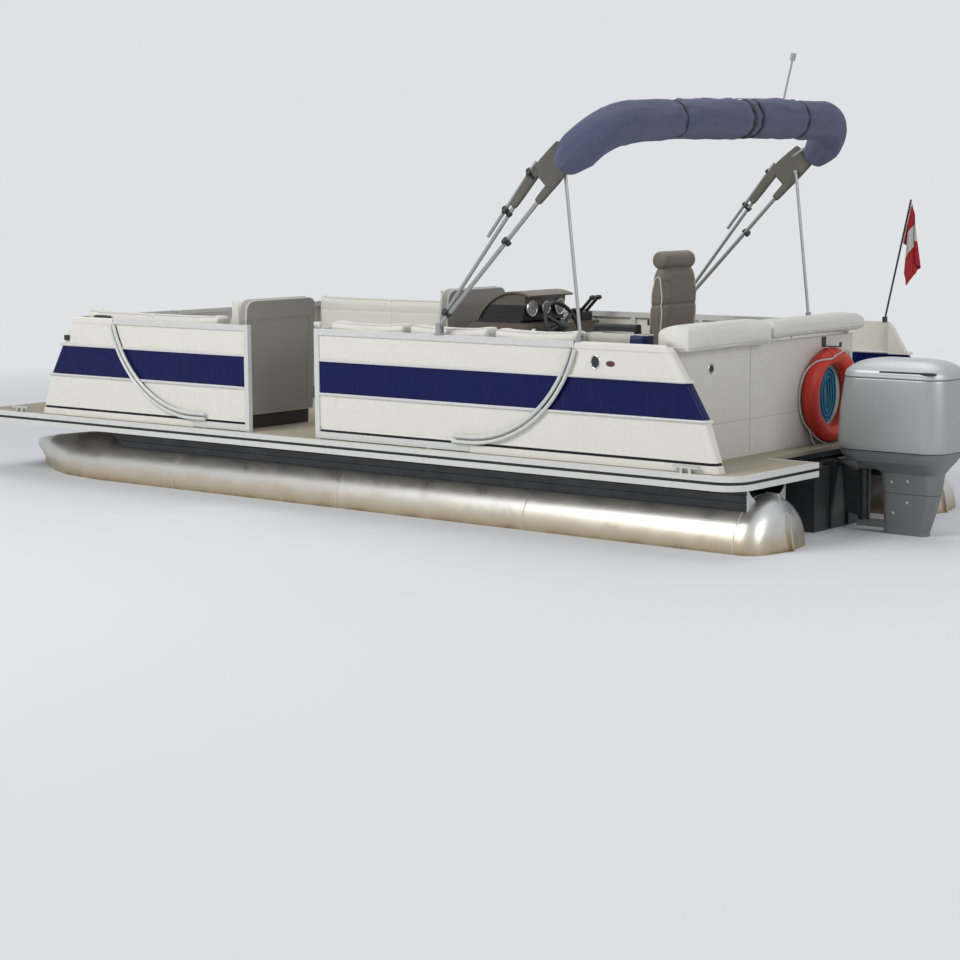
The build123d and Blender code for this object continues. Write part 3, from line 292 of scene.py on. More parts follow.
def mixed(tree, mask, first, second, share=1.0, blend="MIX"):
    """Blends two colours by a mask; each is a colour or a socket."""
    node = chain(tree, "ShaderNodeMix", data_type="RGBA", blend_type=blend)
    tree.links.new(reckon(tree, "MULTIPLY", mask, share), node.inputs[0])
    for socket, value in ((6, first), (7, second)):
        if isinstance(value, bpy.types.NodeSocket):
            tree.links.new(value, node.inputs[socket])
        else:
            node.inputs[socket].default_value = (*value, 1)
    return node.outputs[2]


def finish(
    name, color, roughness=(0.35, 0.5), metallic=0.0, coat=0.0, relief="peel", relief_scale=90.0,
    relief_depth=0.0003, drift=0.12, drift_scale=2.5, runs=0.0, dirt=(0.16, 0.13, 0.09), sheen=0.0,
    bands=(), tides=(), specular=0.5,
):
    """A procedural material: tone drift, dirt runs, relief and uneven roughness over one base colour.

    Each band is (low, high, colour) and paints the surface between two heights. Each tide is
    (low, high, colour, share) and stains it below them.
    """
    if name in MATERIALS:
        return MATERIALS[name]
    made = MATERIALS[name] = bpy.data.materials.new(name)
    made.use_nodes = True
    tree = made.node_tree
    shader = tree.nodes["Principled BSDF"].inputs
    patches = effect(tree, "drift", Scale=drift_scale)["Mask"]
    surface = effect(tree, relief, Scale=relief_scale)
    tone = tuple(color)
    for low, high, paint in bands:
        tone = mixed(tree, effect(tree, "band", Low=low, High=high)["Mask"], tone, paint)
    tone = mixed(tree, patches, tone, (1 - drift, 1 - drift, 1 - 1.15 * drift), 2.0, "MULTIPLY")
    tone = mixed(tree, surface["Mask"], tone, (0.86, 0.86, 0.86), 1.0, "MULTIPLY")
    if runs:
        tone = mixed(tree, effect(tree, "runs", Scale=9.0)["Mask"], tone, dirt, runs)
    for low, high, stain, share in tides:
        tone = mixed(tree, effect(tree, "tide", Low=low, High=high)["Mask"], tone, stain, share)
    tree.links.new(tone, shader["Base Color"])
    gloss = chain(
        tree, "ShaderNodeMapRange", [("Value", patches)],
        From_Min=0.3, From_Max=0.7, To_Min=roughness[0], To_Max=roughness[1],
    )
    tree.links.new(gloss.outputs["Result"], shader["Roughness"])
    bump = chain(tree, "ShaderNodeBump", [("Height", surface["Height"])], Strength=1.0, Distance=relief_depth)
    tree.links.new(bump.outputs["Normal"], shader["Normal"])
    for label, value in (
        ("Metallic", metallic), ("Coat Weight", coat), ("Coat Roughness", 0.08), ("Sheen Weight", sheen),
        ("Specular IOR Level", specular),
    ):
        shader[label].default_value = value
    return made



# Small helpers for meshes

def turns(count):
    """The angles of one turn in equal steps."""
    return [2 * math.pi * k / count for k in range(count)]


def boxy(value, power):
    """A sine or cosine raised to a power with its sign kept, so that a ring grows squarer."""
    return math.copysign(abs(value) ** power, value)


def glide(four, t):
    """A smooth step from the second of four rows of numbers to the third."""
    return [
        0.5 * (2 * b + (c - a) * t + (2 * a - 5 * b + 4 * c - d) * t * t + (3 * b - a - 3 * c + d) * t ** 3)
        for a, b, c, d in zip(*four)
    ]


def length_of(points):
    """The length of the runs between points."""
    return sum((Vector(b) - Vector(a)).length for a, b in zip(points, points[1:]))


def link(obj, material, body, replaced=()):
    """Puts a finished piece into the scene on its body."""
    if obj.name not in bpy.context.scene.collection.objects:
        bpy.context.scene.collection.objects.link(obj)
    obj.data.materials.clear()
    obj.data.materials.append(material)
    if obj.type == "MESH":
        obj.data.shade_smooth()
    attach(obj, body)
    if replaced:
        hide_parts(*replaced)
    return obj


def from_bmesh(name, bm):
    """Turns a bmesh into an object."""
    data = bpy.data.meshes.new(name)
    bm.normal_update()
    bm.to_mesh(data)
    bm.free()
    return bpy.data.objects.new(name, data)


def spline_curve(name, points, kind="NURBS", radius=0.0, rounding=0, cyclic=False, fineness=12):
    """A curve of one spline over points, round when it has a radius."""
    curve = bpy.data.curves.new(name, "CURVE")
    curve.dimensions = "3D"
    curve.bevel_depth = radius
    curve.bevel_resolution = rounding
    curve.use_fill_caps = not cyclic
    spline = curve.splines.new(kind)
    spline.points.add(len(points) - 1)
    for point, place in zip(spline.points, points):
        point.co = (*place, 1)
    spline.use_cyclic_u = cyclic
    if kind == "NURBS":
        spline.order_u = 3
        spline.use_endpoint_u = True
        spline.resolution_u = fineness
    return curve


def curve_mesh(curve):
    """The curve's skin or line as a mesh, in place of the curve."""
    holder = bpy.data.objects.new(curve.name, curve)
    data = bpy.data.meshes.new_from_object(holder)
    bpy.data.objects.remove(holder)
    bpy.data.curves.remove(curve)
    return data


def tube(name, points, radius, cyclic=False, resolution=6, radii=()):
    """A round bar or line along points, as a mesh."""
    curve = spline_curve(name, points, "POLY", radius, resolution, cyclic)
    for point, share in zip(curve.splines[0].points, radii):
        point.radius = share
    data = curve_mesh(curve)
    data.name = name
    data.shade_smooth()
    return bpy.data.objects.new(name, data)


def smooth_line(points, step=0.02):
    """Points along a NURBS curve over a few control points, evenly close."""
    fineness = max(2, math.ceil(length_of(points) / step / max(1, len(points) - 1)))
    data = curve_mesh(spline_curve("route", points, fineness=fineness))
    line = [v.co.copy() for v in data.vertices]
    bpy.data.meshes.remove(data)
    return line


def hang_cord(name, points, radius, rounding, fineness, material, **facts):
    """A cord on the hull, as a curve; what is said of it is not used."""
    curve = spline_curve(name, points, "NURBS", radius, rounding, fineness=fineness)
    cord = bpy.data.objects.new(name, curve)
    bpy.context.scene.collection.objects.link(cord)
    cord.data.materials.append(material)
    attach(cord, "hull")
    return cord


def joined(name, parts):
    """Joins several unlinked mesh objects into one piece."""
    bm = bmesh.new()
    for part in parts:
        mesh = part.data
        bm.from_mesh(mesh)
        bpy.data.objects.remove(part)
        bpy.data.meshes.remove(mesh)
    return from_bmesh(name, bm)


def dress(material, *nodes, round_edges=0.0):
    """Gives CAD nodes a procedural material and rounds their sharp edges with a bevel modifier."""
    for node in nodes:
        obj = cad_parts[node]
        obj.data.materials.clear()
        obj.data.materials.append(material)
        if round_edges:
            bevel = obj.modifiers.new("Rounded edges", "BEVEL")
            bevel.width = round_edges
            bevel.segments = 2
            bevel.limit_method = "ANGLE"
            bevel.angle_limit = math.radians(35)
            bevel.harden_normals = True
            obj.data.shade_smooth()
    return material


def solids(node):
    """The separate solids of a CAD node as new meshes, ordered by the middle of their boxes."""
    bm = bmesh.new()
    bm.from_mesh(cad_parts[node].data)
    bmesh.ops.remove_doubles(bm, verts=bm.verts, dist=1e-5)
    left = set(bm.verts)
    found = []
    while left:
        island, edge = set(), [left.pop()]
        while edge:
            vert = edge.pop()
            island.add(vert)
            for link_edge in vert.link_edges:
                other = link_edge.other_vert(vert)
                if other in left:
                    left.discard(other)
                    edge.append(other)
        order = {vert: k for k, vert in enumerate(island)}
        faces = {face for vert in island for face in vert.link_faces}
        mesh = bpy.data.meshes.new(node)
        mesh.from_pydata(
            [vert.co[:] for vert in island], [], [[order[v] for v in face.verts] for face in faces]
        )
        found.append(mesh)
    bm.free()

    def middle(mesh):
        return tuple(round(sum(f(v.co[k] for v in mesh.vertices) for f in (min, max)), 3) for k in range(3))

    return sorted(found, key=middle)


def evaluated(obj):
    """The object's mesh with its modifiers applied."""
    bpy.context.view_layer.update()
    graph = bpy.context.evaluated_depsgraph_get()
    return bpy.data.meshes.new_from_object(obj.evaluated_get(graph))


def apply_modifiers(obj):
    """Bakes the object's modifiers into its mesh."""
    fresh = evaluated(obj)
    old = obj.data
    obj.modifiers.clear()
    obj.data = fresh
    bpy.data.meshes.remove(old)


def subdivided(obj):
    """Smooths a skin by one subdivision."""
    fine = obj.modifiers.new("Smooth skin", "SUBSURF")
    fine.levels = fine.render_levels = 1
    apply_modifiers(obj)


def play(frames):
    """Steps the simulation through its frames."""
    for step in range(1, frames + 1):
        bpy.context.scene.frame_set(step)


class Stuffing:
    """Pads that wait for one run of the cloth simulation."""

    FRAMES = 20

    def __init__(self):
        self.pads = []

    def add(self, name, mesh, voxel=0.012, inset=0.008, reach=0.016, proud=(0.004, 0.004, 0.016), flat=()):
        """Remeshes a start shape, draws it in and notes how far it may swell past its own box.

        flat names the box sides that rest on something, such as "-z".
        """
        obj = bpy.data.objects.new(name, mesh)
        bpy.context.scene.collection.objects.link(obj)
        low = [min(v.co[k] for v in mesh.vertices) for k in range(3)]
        high = [max(v.co[k] for v in mesh.vertices) for k in range(3)]
        remesh = obj.modifiers.new("Even skin", "REMESH")
        remesh.mode = "VOXEL"
        remesh.voxel_size = voxel
        apply_modifiers(obj)
        inward = [v.co - v.normal * inset for v in obj.data.vertices]
        for vert, place in zip(obj.data.vertices, inward):
            vert.co = place
        limits = [(low[k] - proud[k], high[k] + proud[k]) for k in range(3)]
        for side in flat:
            k = "xyz".index(side[1])
            limits[k] = (low[k], limits[k][1]) if side[0] == "-" else (limits[k][0], high[k])
        self.pads.append((obj, reach, limits))
        return obj

    def run(self):
        """Blows every pad up a little, then smooths it once."""
        for obj, reach, limits in self.pads:
            cloth = obj.modifiers.new("Stuffing", "CLOTH")
            cloth.settings.use_pressure = True
            cloth.settings.uniform_pressure_force = 4
            cloth.settings.effector_weights.gravity = 0
            cloth.settings.quality = 4
            cloth.point_cache.frame_start, cloth.point_cache.frame_end = 1, self.FRAMES
        play(self.FRAMES)
        for obj, reach, limits in self.pads:
            start = [v.co.copy() for v in obj.data.vertices]
            soft = evaluated(obj)
            swollen = [v.co.copy() for v in soft.vertices]
            bpy.data.meshes.remove(soft)
            obj.modifiers.clear()
            for vert, old, new in zip(obj.data.vertices, start, swollen):
                shift = new - old
                if shift.length > reach:
                    shift *= reach / shift.length
                vert.co = [min(max(c, low), high) for c, (low, high) in zip(old + shift, limits)]
            subdivided(obj)
        bpy.context.scene.frame_set(1)


STUFFING = Stuffing()


def crease(obj, normal, place, depth=0.006, width=0.007, where=None):
    """Draws a sewn seam into a pad along a plane."""
    normal = Vector(normal).normalized()
    inward = [v.normal.copy() for v in obj.data.vertices]
    for vert, way in zip(obj.data.vertices, inward):
        if where and not where(vert.co):
            continue
        gap = (vert.co - Vector(place)).dot(normal)
        vert.co -= way * depth * math.exp(-((gap / width) ** 2))


def seam_loops(mesh, normal, place, step=0.022):
    """Where a plane cuts a closed skin, as closed lines of evenly spaced points."""
    bm = bmesh.new()
    bm.from_mesh(mesh)
    bmesh.ops.remove_doubles(bm, verts=bm.verts, dist=1e-5)
    cut = bmesh.ops.bisect_plane(
        bm, geom=bm.verts[:] + bm.edges[:] + bm.faces[:], plane_co=place, plane_no=normal,
    )["geom_cut"]
    neighbours = {}
    for edge in cut:
        if isinstance(edge, bmesh.types.BMEdge):
            a, b = edge.verts
            neighbours.setdefault(a, []).append(b)
            neighbours.setdefault(b, []).append(a)
    loops, used = [], set()
    for start in neighbours:
        if start in used:
            continue
        loop, ways = [], [start]
        while ways:
            loop.append(ways[0])
            used.add(ways[0])
            ways = [v for v in neighbours[ways[0]] if v not in used]
        points = [v.co.copy() for v in loop]
        around = points + points[:1]
        length = length_of(around)
        if length < 0.12:
            continue
        count = max(12, round(length / step))
        even, walked, target = [], 0.0, 0.0
        for a, b in zip(around, around[1:]):
            run = (b - a).length
            while target <= walked + run and len(even) < count and run > 0:
                even.append(a.lerp(b, (target - walked) / run))
                target += length / count
            walked += run
        loops.append(even)
    bm.free()
    return loops


def welt(name, mesh, material, body, planes, radius=None):
    """Piping along the seams where planes cut a closed skin."""
    radius = radius or bpy.context.scene.pontoon_soft.piping
    parts = [
        tube("piping", loop, radius, cyclic=True, resolution=2)
        for normal, place in planes for loop in seam_loops(mesh, normal, place)
    ]
    return link(joined(name, parts), material, body)


def ring_skin(name, rings, caps=True):
    """A skin over rings of points, each ring closed on itself."""
    bm = bmesh.new()
    rows = [[bm.verts.new(p) for p in ring] for ring in rings]
    for first, second in zip(rows, rows[1:]):
        for k in range(len(first)):
            after = (k + 1) % len(first)
            bm.faces.new((first[k], first[after], second[after], second[k]))
    if caps:
        bm.faces.new(rows[0][::-1])
        bm.faces.new(rows[-1])
    bmesh.ops.recalc_face_normals(bm, faces=bm.faces)
    return from_bmesh(name, bm)


def disc(name, centre, axis, steps, count=40):
    """A turned piece: steps are (distance along the axis, radius) from the back to the front."""
    axis = Vector(axis).normalized()
    across = axis.orthogonal().normalized()
    other = axis.cross(across)
    return ring_skin(name, [
        [
            Vector(centre) + axis * along + (across * math.cos(t) + other * math.sin(t)) * radius
            for t in turns(count)
        ]
        for along, radius in steps
    ])


def rounded_box(name, low, high, radius, segments=3):
    """A box between two corners with its edges rolled over."""
    bm = bmesh.new()
    bmesh.ops.create_cube(bm, size=1)
    size = [b - a for a, b in zip(low, high)]
    for vert in bm.verts:
        vert.co = Vector(((c + 0.5) * s + a for c, s, a in zip(vert.co, size, low)))
    bmesh.ops.bevel(
        bm, geom=bm.edges[:] + bm.verts[:], offset=radius, segments=segments, affect="EDGES", profile=0.5,
    )
    return from_bmesh(name, bm)


def prism(name, profile, y_low, y_high):
    """A start shape for a pad: a side profile of (x, z) points between two widths."""
    count = len(profile)
    mesh = bpy.data.meshes.new(name)
    mesh.from_pydata(
        [(x, y, z) for y in (y_low, y_high) for x, z in profile], [],
        [list(range(count)), list(range(2 * count - 1, count - 1, -1))]
        + [[k, k + count, (k + 1) % count + count, (k + 1) % count] for k in range(count)],
    )
    return mesh


def landing(node, start, way):
    """Where a line from a point meets a CAD node, and the way that its surface faces there."""
    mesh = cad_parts[node].data
    tree = BVHTree.FromPolygons([v.co for v in mesh.vertices], [list(f.vertices) for f in mesh.polygons])
    spot, normal, _, _ = tree.ray_cast(Vector(start), Vector(way).normalized())
    if spot is None:
        raise RuntimeError(f"no surface of {node} lies there")
    return spot, -normal if normal.dot(Vector(way)) > 0 else normal


def second_tone(obj, material, test):
    """Gives the faces that pass a test of centre and normal another material."""
    obj.data.materials.append(material)
    for face in obj.data.polygons:
        if test(face.center, face.normal):
            face.material_index = len(obj.data.materials) - 1


# Operators

class MakeStudio(bpy.types.Operator):
    """Floor, lights and the camera at the photograph's angle."""

    bl_idname = "pontoon.studio"
    bl_label = "Studio"

    def execute(self, context):
        studio = context.scene.pontoon_studio
        bm = bmesh.new()
        bmesh.ops.create_grid(bm, x_segments=8, y_segments=8, size=studio.floor_half)
        floor = from_bmesh("studio_floor", bm)
        context.scene.collection.objects.link(floor)
        floor.data.materials.append(self.floor_material())
        self.lights(studio, context)
        self.world(context)
        self.camera(studio, context)
        context.scene.view_settings.view_transform = "Standard"
        return {"FINISHED"}

    def floor_material(self):
        """Pale and matt near the boat, and further off the colour of the sky behind it."""
        made = bpy.data.materials.new("studio_floor")
        made.use_nodes = True
        tree = made.node_tree
        shader = tree.nodes["Principled BSDF"]
        shader.inputs["Base Color"].default_value = (*PALE, 1)
        shader.inputs["Roughness"].default_value = 0.75
        place = chain(tree, "ShaderNodeTexCoord")
        reach = chain(tree, "ShaderNodeVectorMath", [(0, place.outputs["Object"])], operation="LENGTH")
        far = reckon(tree, "MULTIPLY", ramp(tree, reach.outputs["Value"], 4.5, 11.0), seen_rays(tree))
        glow = chain(tree, "ShaderNodeEmission", Color=(*PALE, 1), Strength=1.0)
        pick = chain(tree, "ShaderNodeMixShader", [(0, far), (1, shader.outputs[0]), (2, glow.outputs[0])])
        tree.links.new(pick.outputs[0], tree.nodes["Material Output"].inputs["Surface"])
        return made

    def lights(self, studio, context):
        rows = [  # name, place, target, size, power share
            ("key_light", (2.5, 11.0, 9.0), (-0.5, 0, 0.6), 7.0, 1.0),
            ("aft_fill", (-11.0, 3.0, 5.0), (-1.5, 0, 0.8), 6.0, 0.28),
            ("top_fill", (0, -3.0, 10.0), (0, 0, 0.5), 9.0, 0.36),
        ]
        for name, place, target, size, share in rows:
            lamp = bpy.data.lights.new(name, "AREA")
            lamp.shape = "DISK"
            lamp.size = size
            lamp.energy = studio.key_power * share
            obj = bpy.data.objects.new(name, lamp)
            obj.location = place
            obj.rotation_euler = (Vector(target) - Vector(place)).to_track_quat("-Z", "Y").to_euler()
            context.scene.collection.objects.link(obj)

    def world(self, context):
        world = bpy.data.worlds.new("studio_sky")
        world.use_nodes = True
        tree = world.node_tree
        tree.nodes.clear()
        seen = chain(tree, "ShaderNodeBackground", Color=(*PALE, 1), Strength=1.0)
        light = chain(tree, "ShaderNodeBackground", Color=(0.85, 0.90, 1.0, 1), Strength=0.30)
        pick = chain(
            tree, "ShaderNodeMixShader", [(0, seen_rays(tree)), (1, light.outputs[0]), (2, seen.outputs[0])],
        )
        chain(tree, "ShaderNodeOutputWorld", [(0, pick.outputs[0])])
        context.scene.world = world

    def camera(self, studio, context):
        lens = bpy.data.cameras.new("photo_camera")
        lens.sensor_width = 36
        lens.lens = studio.focal
        lens.clip_end = 500
        look = Vector((
            math.cos(studio.pitch) * math.cos(studio.yaw),
            math.cos(studio.pitch) * math.sin(studio.yaw),
            math.sin(studio.pitch),
        ))
        right = Vector((math.sin(studio.yaw), -math.cos(studio.yaw), 0))
        down = look.cross(right)
        turn_right = math.cos(studio.roll) * right + math.sin(studio.roll) * down
        turn_down = -math.sin(studio.roll) * right + math.cos(studio.roll) * down
        obj = bpy.data.objects.new("photo_camera", lens)
        axes = Matrix((turn_right, -turn_down, -look)).transposed()
        obj.matrix_world = Matrix.Translation(studio.camera_place) @ axes.to_4x4()
        context.scene.collection.objects.link(obj)
        context.scene.camera = obj


def fitting_chrome():
    """The bright metal of small rims."""
    return finish(
        "fitting_chrome", (0.75, 0.75, 0.75), (0.10, 0.2), metallic=1.0, relief_depth=0.00005, drift=0.03,
    )


class DressHull(bpy.types.Operator):
    """Finishes of the tubes, deck, mouldings and fences."""

    bl_idname = "pontoon.hull"
    bl_label = "Hull and deck"

    def execute(self, context):
        hull = context.scene.pontoon_hull
        brushed = dict(relief="brush", relief_scale=60.0)
        shaded = dict(brushed, metallic=0.6, runs=0.2, dirt=(0.12, 0.11, 0.09))
        sprayed = dict(runs=0.08, specular=0.2, drift=0.03)
        metal = dress(finish(
            "pontoon_metal", hull.metal, (0.26, 0.40), metallic=0.85, relief_depth=0.0002, drift=0.05,
            runs=0.10, dirt=(0.36, 0.32, 0.24), **brushed,
            tides=[(0.10, 0.26, (0.60, 0.52, 0.38), 0.45), (0.04, 0.16, (0.40, 0.28, 0.13), 0.75),
                   (0.0, 0.05, (0.045, 0.036, 0.024), 0.9)],
        ), "port_pontoon", "starboard_pontoon")
        # The pod and cross members are painted near black: painted shade of the dark space under the deck.
        dress(
            finish(
                "pod_metal_painted_shade", (0.075, 0.080, 0.085), (0.35, 0.55), relief_depth=0.0004, drift=0.08, **shaded,
            ),
            "motor_pod", "cross_members", round_edges=0.003,
        )
        # The risers are painted near black as painted shade under the deck; their faces aft of x = -3.0 take
        # the bare tube metal.
        dress(
            finish("riser_metal_painted_shade", (0.075, 0.077, 0.080), (0.35, 0.55), relief_depth=0.0005, **shaded),
            "pontoon_risers",
        )
        second_tone(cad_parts["pontoon_risers"], metal, lambda centre, normal: centre.x < -3.0)
        dress(finish(
            "deck_weave", hull.deck, (0.75, 0.9), relief="weave", relief_scale=900.0, relief_depth=0.0008,
            drift=0.10, drift_scale=4.0,
        ), "deck")
        dress(finish(
            "rub_rail_white", (0.78, 0.77, 0.73), (0.28, 0.45), relief_scale=60.0, runs=0.15, drift=0.05,
            bands=[(0.3835, 0.3995, BLACK)],
        ), "deck_edge_trim", round_edges=0.006)
        # The BLACK band at the mouldings' foot fills the groove there: partly a black line, partly painted
        # shade of the groove.
        dress(finish(
            "moulding_gel_coat", hull.cream, (0.22, 0.36), relief_scale=30.0, relief_depth=0.0002,
            bands=[(0.712, 0.903, hull.navy), (0.4745, 0.4895, BLACK)], **sprayed,
        ), *MOULDINGS, round_edges=0.008)
        white = dress(
            finish("frame_white", (0.76, 0.76, 0.73), (0.22, 0.38), coat=0.3, drift=0.05, runs=0.12),
            "port_aft_fence", "port_forward_fence", "starboard_fence", "bow_fence", "side_gate",
            "bow_gate", "stern_gate", round_edges=0.003,
        )
        dress(white, "trim_tubes")
        dress(finish(
            "panel_paint", hull.cream, (0.24, 0.38), relief_scale=5.0, relief_depth=0.0006,
            bands=[(0.705, 0.910, hull.navy)], **sprayed,
        ), "fence_panels")
        dress(finish(
            "trim_bright", (0.72, 0.72, 0.70), (0.2, 0.3), metallic=0.85, relief="brush", relief_depth=0.0002,
            drift=0.05,
        ), "cleats")
        dress(finish(
            "wall_paint", (0.76, 0.74, 0.68), (0.35, 0.5), relief_scale=20.0, drift=0.04, runs=0.12,
            bands=[(0.6360, 0.6385, (0.40, 0.39, 0.37))],
        ), "stern_wall", round_edges=0.003)
        self.ledges(white)
        self.fence_strips(white, hull)
        self.arc_rubber_shade_lines()
        self.fittings(white)
        self.seams()
        return {"FINISHED"}

    def ledges(self, white):
        """Rolled edges on the outer side of the mouldings' ledges."""
        beads = []
        cuts = [
            loop for node in MOULDINGS for level in (0.7052, 0.9098)
            for loop in seam_loops(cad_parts[node].data, (0, 0, 1), (0, 0, level))
        ]
        for loop in cuts:
            kept = [abs(point.y) > 1.205 for point in loop]
            for start in (k for k in range(len(loop)) if kept[k] and not kept[k - 1]):
                run = []
                while kept[(start + len(run)) % len(loop)]:
                    run.append(loop[(start + len(run)) % len(loop)])
                if len(run) > 6:
                    thick = [0.3, 0.8] + [1.0] * (len(run) - 4) + [0.8, 0.3]
                    beads.append(tube("bead", run, 0.0085, resolution=3, radii=thick))
        link(joined("moulding_ledge_beads", beads), white, "hull")

    def fence_strips(self, white, hull):
        """Rolled rails along the fences' ledges, and the strip at each panel's foot with a black line, partly
        rubber and partly painted shadow of the gap under the panel.
        """
        rails = [  # start, end, inner face, outer face, foot, head, side
            (low, high, 1.2440, 1.2525, level - 0.0085, level + 0.0085, side)
            for low, high, side in ((-2.02, -0.16, 1), (0.60, 1.745, 1), (-2.02, 1.745, -1))
            for level in (0.705, 0.910)
        ]
        feet = [
            (low, high, 1.2360, 1.2405, 0.4675, 0.5120, side)
            for low, high, side in ((-2.02, -0.11, 1), (0.54, 1.745, 1), (-2.02, 1.745, -1))
        ]
        # The black band is partly rubber, partly painted shadow of the gap under the panel.
        strip = finish(
            "foot_strip", hull.cream, (0.24, 0.38), relief_scale=5.0, drift=0.03, specular=0.2,
            bands=[(0.470, 0.489, BLACK)],
        )
        for name, rows, radius, segments, material in (
            ("fence_ledge_rails", rails, 0.0038, 3, white), ("panel_foot_strips", feet, 0.001, 2, strip),
        ):
            parts = []
            for low, high, inner, outer, foot, head, side in rows:
                near, far = sorted((side * inner, side * outer))
                parts.append(rounded_box("strip", (low, near, foot), (high, far, head), radius, segments))
            link(joined(name, parts), material, "hull")

    def arc_rubber_shade_lines(self):
        """A black strip between each panel and its curved tube: part rubber gasket, part painted shadow of
        the gap there.
        """
        # The black strip is partly a rubber gasket, partly painted shadow of the gap beside the tube.
        rubber = finish("arc_rubber_shade_line", BLACK, (0.4, 0.55), relief="grain", relief_depth=0.0002)
        outline = ((-1, -0.002), (-1, 0.001), (-0.6, 0.0025), (0.6, 0.0025), (1, 0.001), (1, -0.002))
        parts = []
        for side, toward in ((1, -1), (1, 1), (-1, -1), (-1, 1)):
            rings = []
            for k in range(41):
                turn = math.radians(84 - 68 * k / 40)
                half = 0.0045 * min(1.0, k / 4 + 0.2, (40 - k) / 4 + 0.2)
                way = Vector((toward * math.cos(turn), 0, -math.sin(turn)))
                middle = Vector((-1.287 if toward < 0 else 1.006, side * 1.2422, 1.280)) + way * 0.7575
                rings.append([middle + way * (half * a) + Vector((0, side * b, 0)) for a, b in outline])
            parts.append(ring_skin("line", rings))
        link(joined("arc_rubber_shade_lines", parts), rubber, "hull")

    def fittings(self, white):
        """Vents, blank oval plates, the post's latch cap, the wall's round fitting and pad covers."""
        dark = finish("fitting_dark", (0.02, 0.021, 0.023), (0.3, 0.5), relief="grain", relief_depth=0.0002)
        plate = finish("blank_plate", (0.10, 0.035, 0.030), (0.3, 0.4), relief_depth=0.0001)
        rims, covers, plates, pads = [], [], [], []

        def ovals(spot, side, long, tall, steps):
            return [
                [
                    spot + Vector(((long + grow) * math.cos(t), side * lift, (tall + grow) * math.sin(t)))
                    for t in turns(40)
                ]
                for grow, lift in steps
            ]

        for side, label in SIDES:
            wing = f"{label}_stern_moulding"
            spot, _ = landing(wing, (-2.177, side * 1.6, 0.992), (0, -side, 0))
            rims.append(ring_skin("rim", ovals(spot, side, 0.030, 0.036, (
                (0.004, -0.001), (0.004, 0.002), (0.001, 0.005), (-0.003, 0.005), (-0.004, 0.001),
            )), caps=False))
            covers.append(ring_skin("hole", ovals(spot, side, 0.030, 0.036, (
                (-0.003, 0.0), (-0.003, 0.0022), (-0.012, 0.0034),
            ))))
            for bar in (-0.016, -0.005, 0.006, 0.017):
                wide = 0.030 * math.sqrt(max(0.05, 1 - (bar / 0.036) ** 2)) - 0.006
                ends = [spot + Vector((x, side * 0.003, bar)) for x in (-wide, wide)]
                covers.append(tube("louvre", ends, 0.0022))
            spot, _ = landing(wing, (-2.278, side * 1.6, 0.986), (0, -side, 0))
            plates.append(ring_skin("plate", ovals(spot, side, 0.030, 0.016, (
                (0, -0.001), (0, 0.0012), (-0.002, 0.002),
            ))))
            pads.append(ring_skin("pad", [
                [
                    Vector((
                        1.90 + (0.085 + grow) * math.cos(t),
                        side * 1.205 + (0.022 + grow / 3) * math.sin(t), 1.1003 + lift,
                    ))
                    for t in turns(40)
                ]
                for grow, lift in ((0, 0), (0, 0.008), (-0.006, 0.013), (-0.03, 0.016))
            ]))
        spot, _ = landing("stern_wall", (-3.0, 0.809, 0.948), (1, 0, 0))
        aft = (-1, 0, 0)
        rims.append(disc("rim", spot, aft, [(-0.001, 0.030), (0.003, 0.030), (0.006, 0.026), (0.004, 0.021)]))
        covers.append(disc("cap", spot, aft, [(0.0, 0.022), (0.0045, 0.021), (0.006, 0.012)]))
        lobes = [
            disc("lobe", (x, 1.228, 1.1002), (0, 0, 1),
                 [(0, 0.012), (0.014, 0.012), (0.018, 0.017), (0.034, 0.017), (0.040, 0.012)], 28)
            for x in (-0.093, -0.071)
        ]
        for name, parts, material in (
            ("fitting_rims", rims, fitting_chrome()), ("fitting_covers", covers, dark),
            ("blank_plates", plates, plate), ("moulding_top_pads", pads, dark),
            ("post_latch_cap", lobes, white),
        ):
            link(joined(name, parts), material, "hull")

    def seams(self):
        """The weld seams round the tubes."""
        bright = finish(
            "weld_bead", (0.62, 0.62, 0.60), (0.35, 0.5), metallic=0.8, relief="grain", relief_scale=160.0,
            relief_depth=0.0008, drift=0.08,
        )
        parts = [
            tube("bead", [
                Vector((x, side * 0.880 + 0.2921 * math.cos(t), 0.2921 * math.sin(t))) for t in turns(96)
            ], 0.0026, cyclic=True, resolution=2)
            for side, _ in SIDES for x in (-3.02, -1.60, -0.15, 1.30)
        ]
        link(joined("tube_weld_seams", parts), bright, "hull")


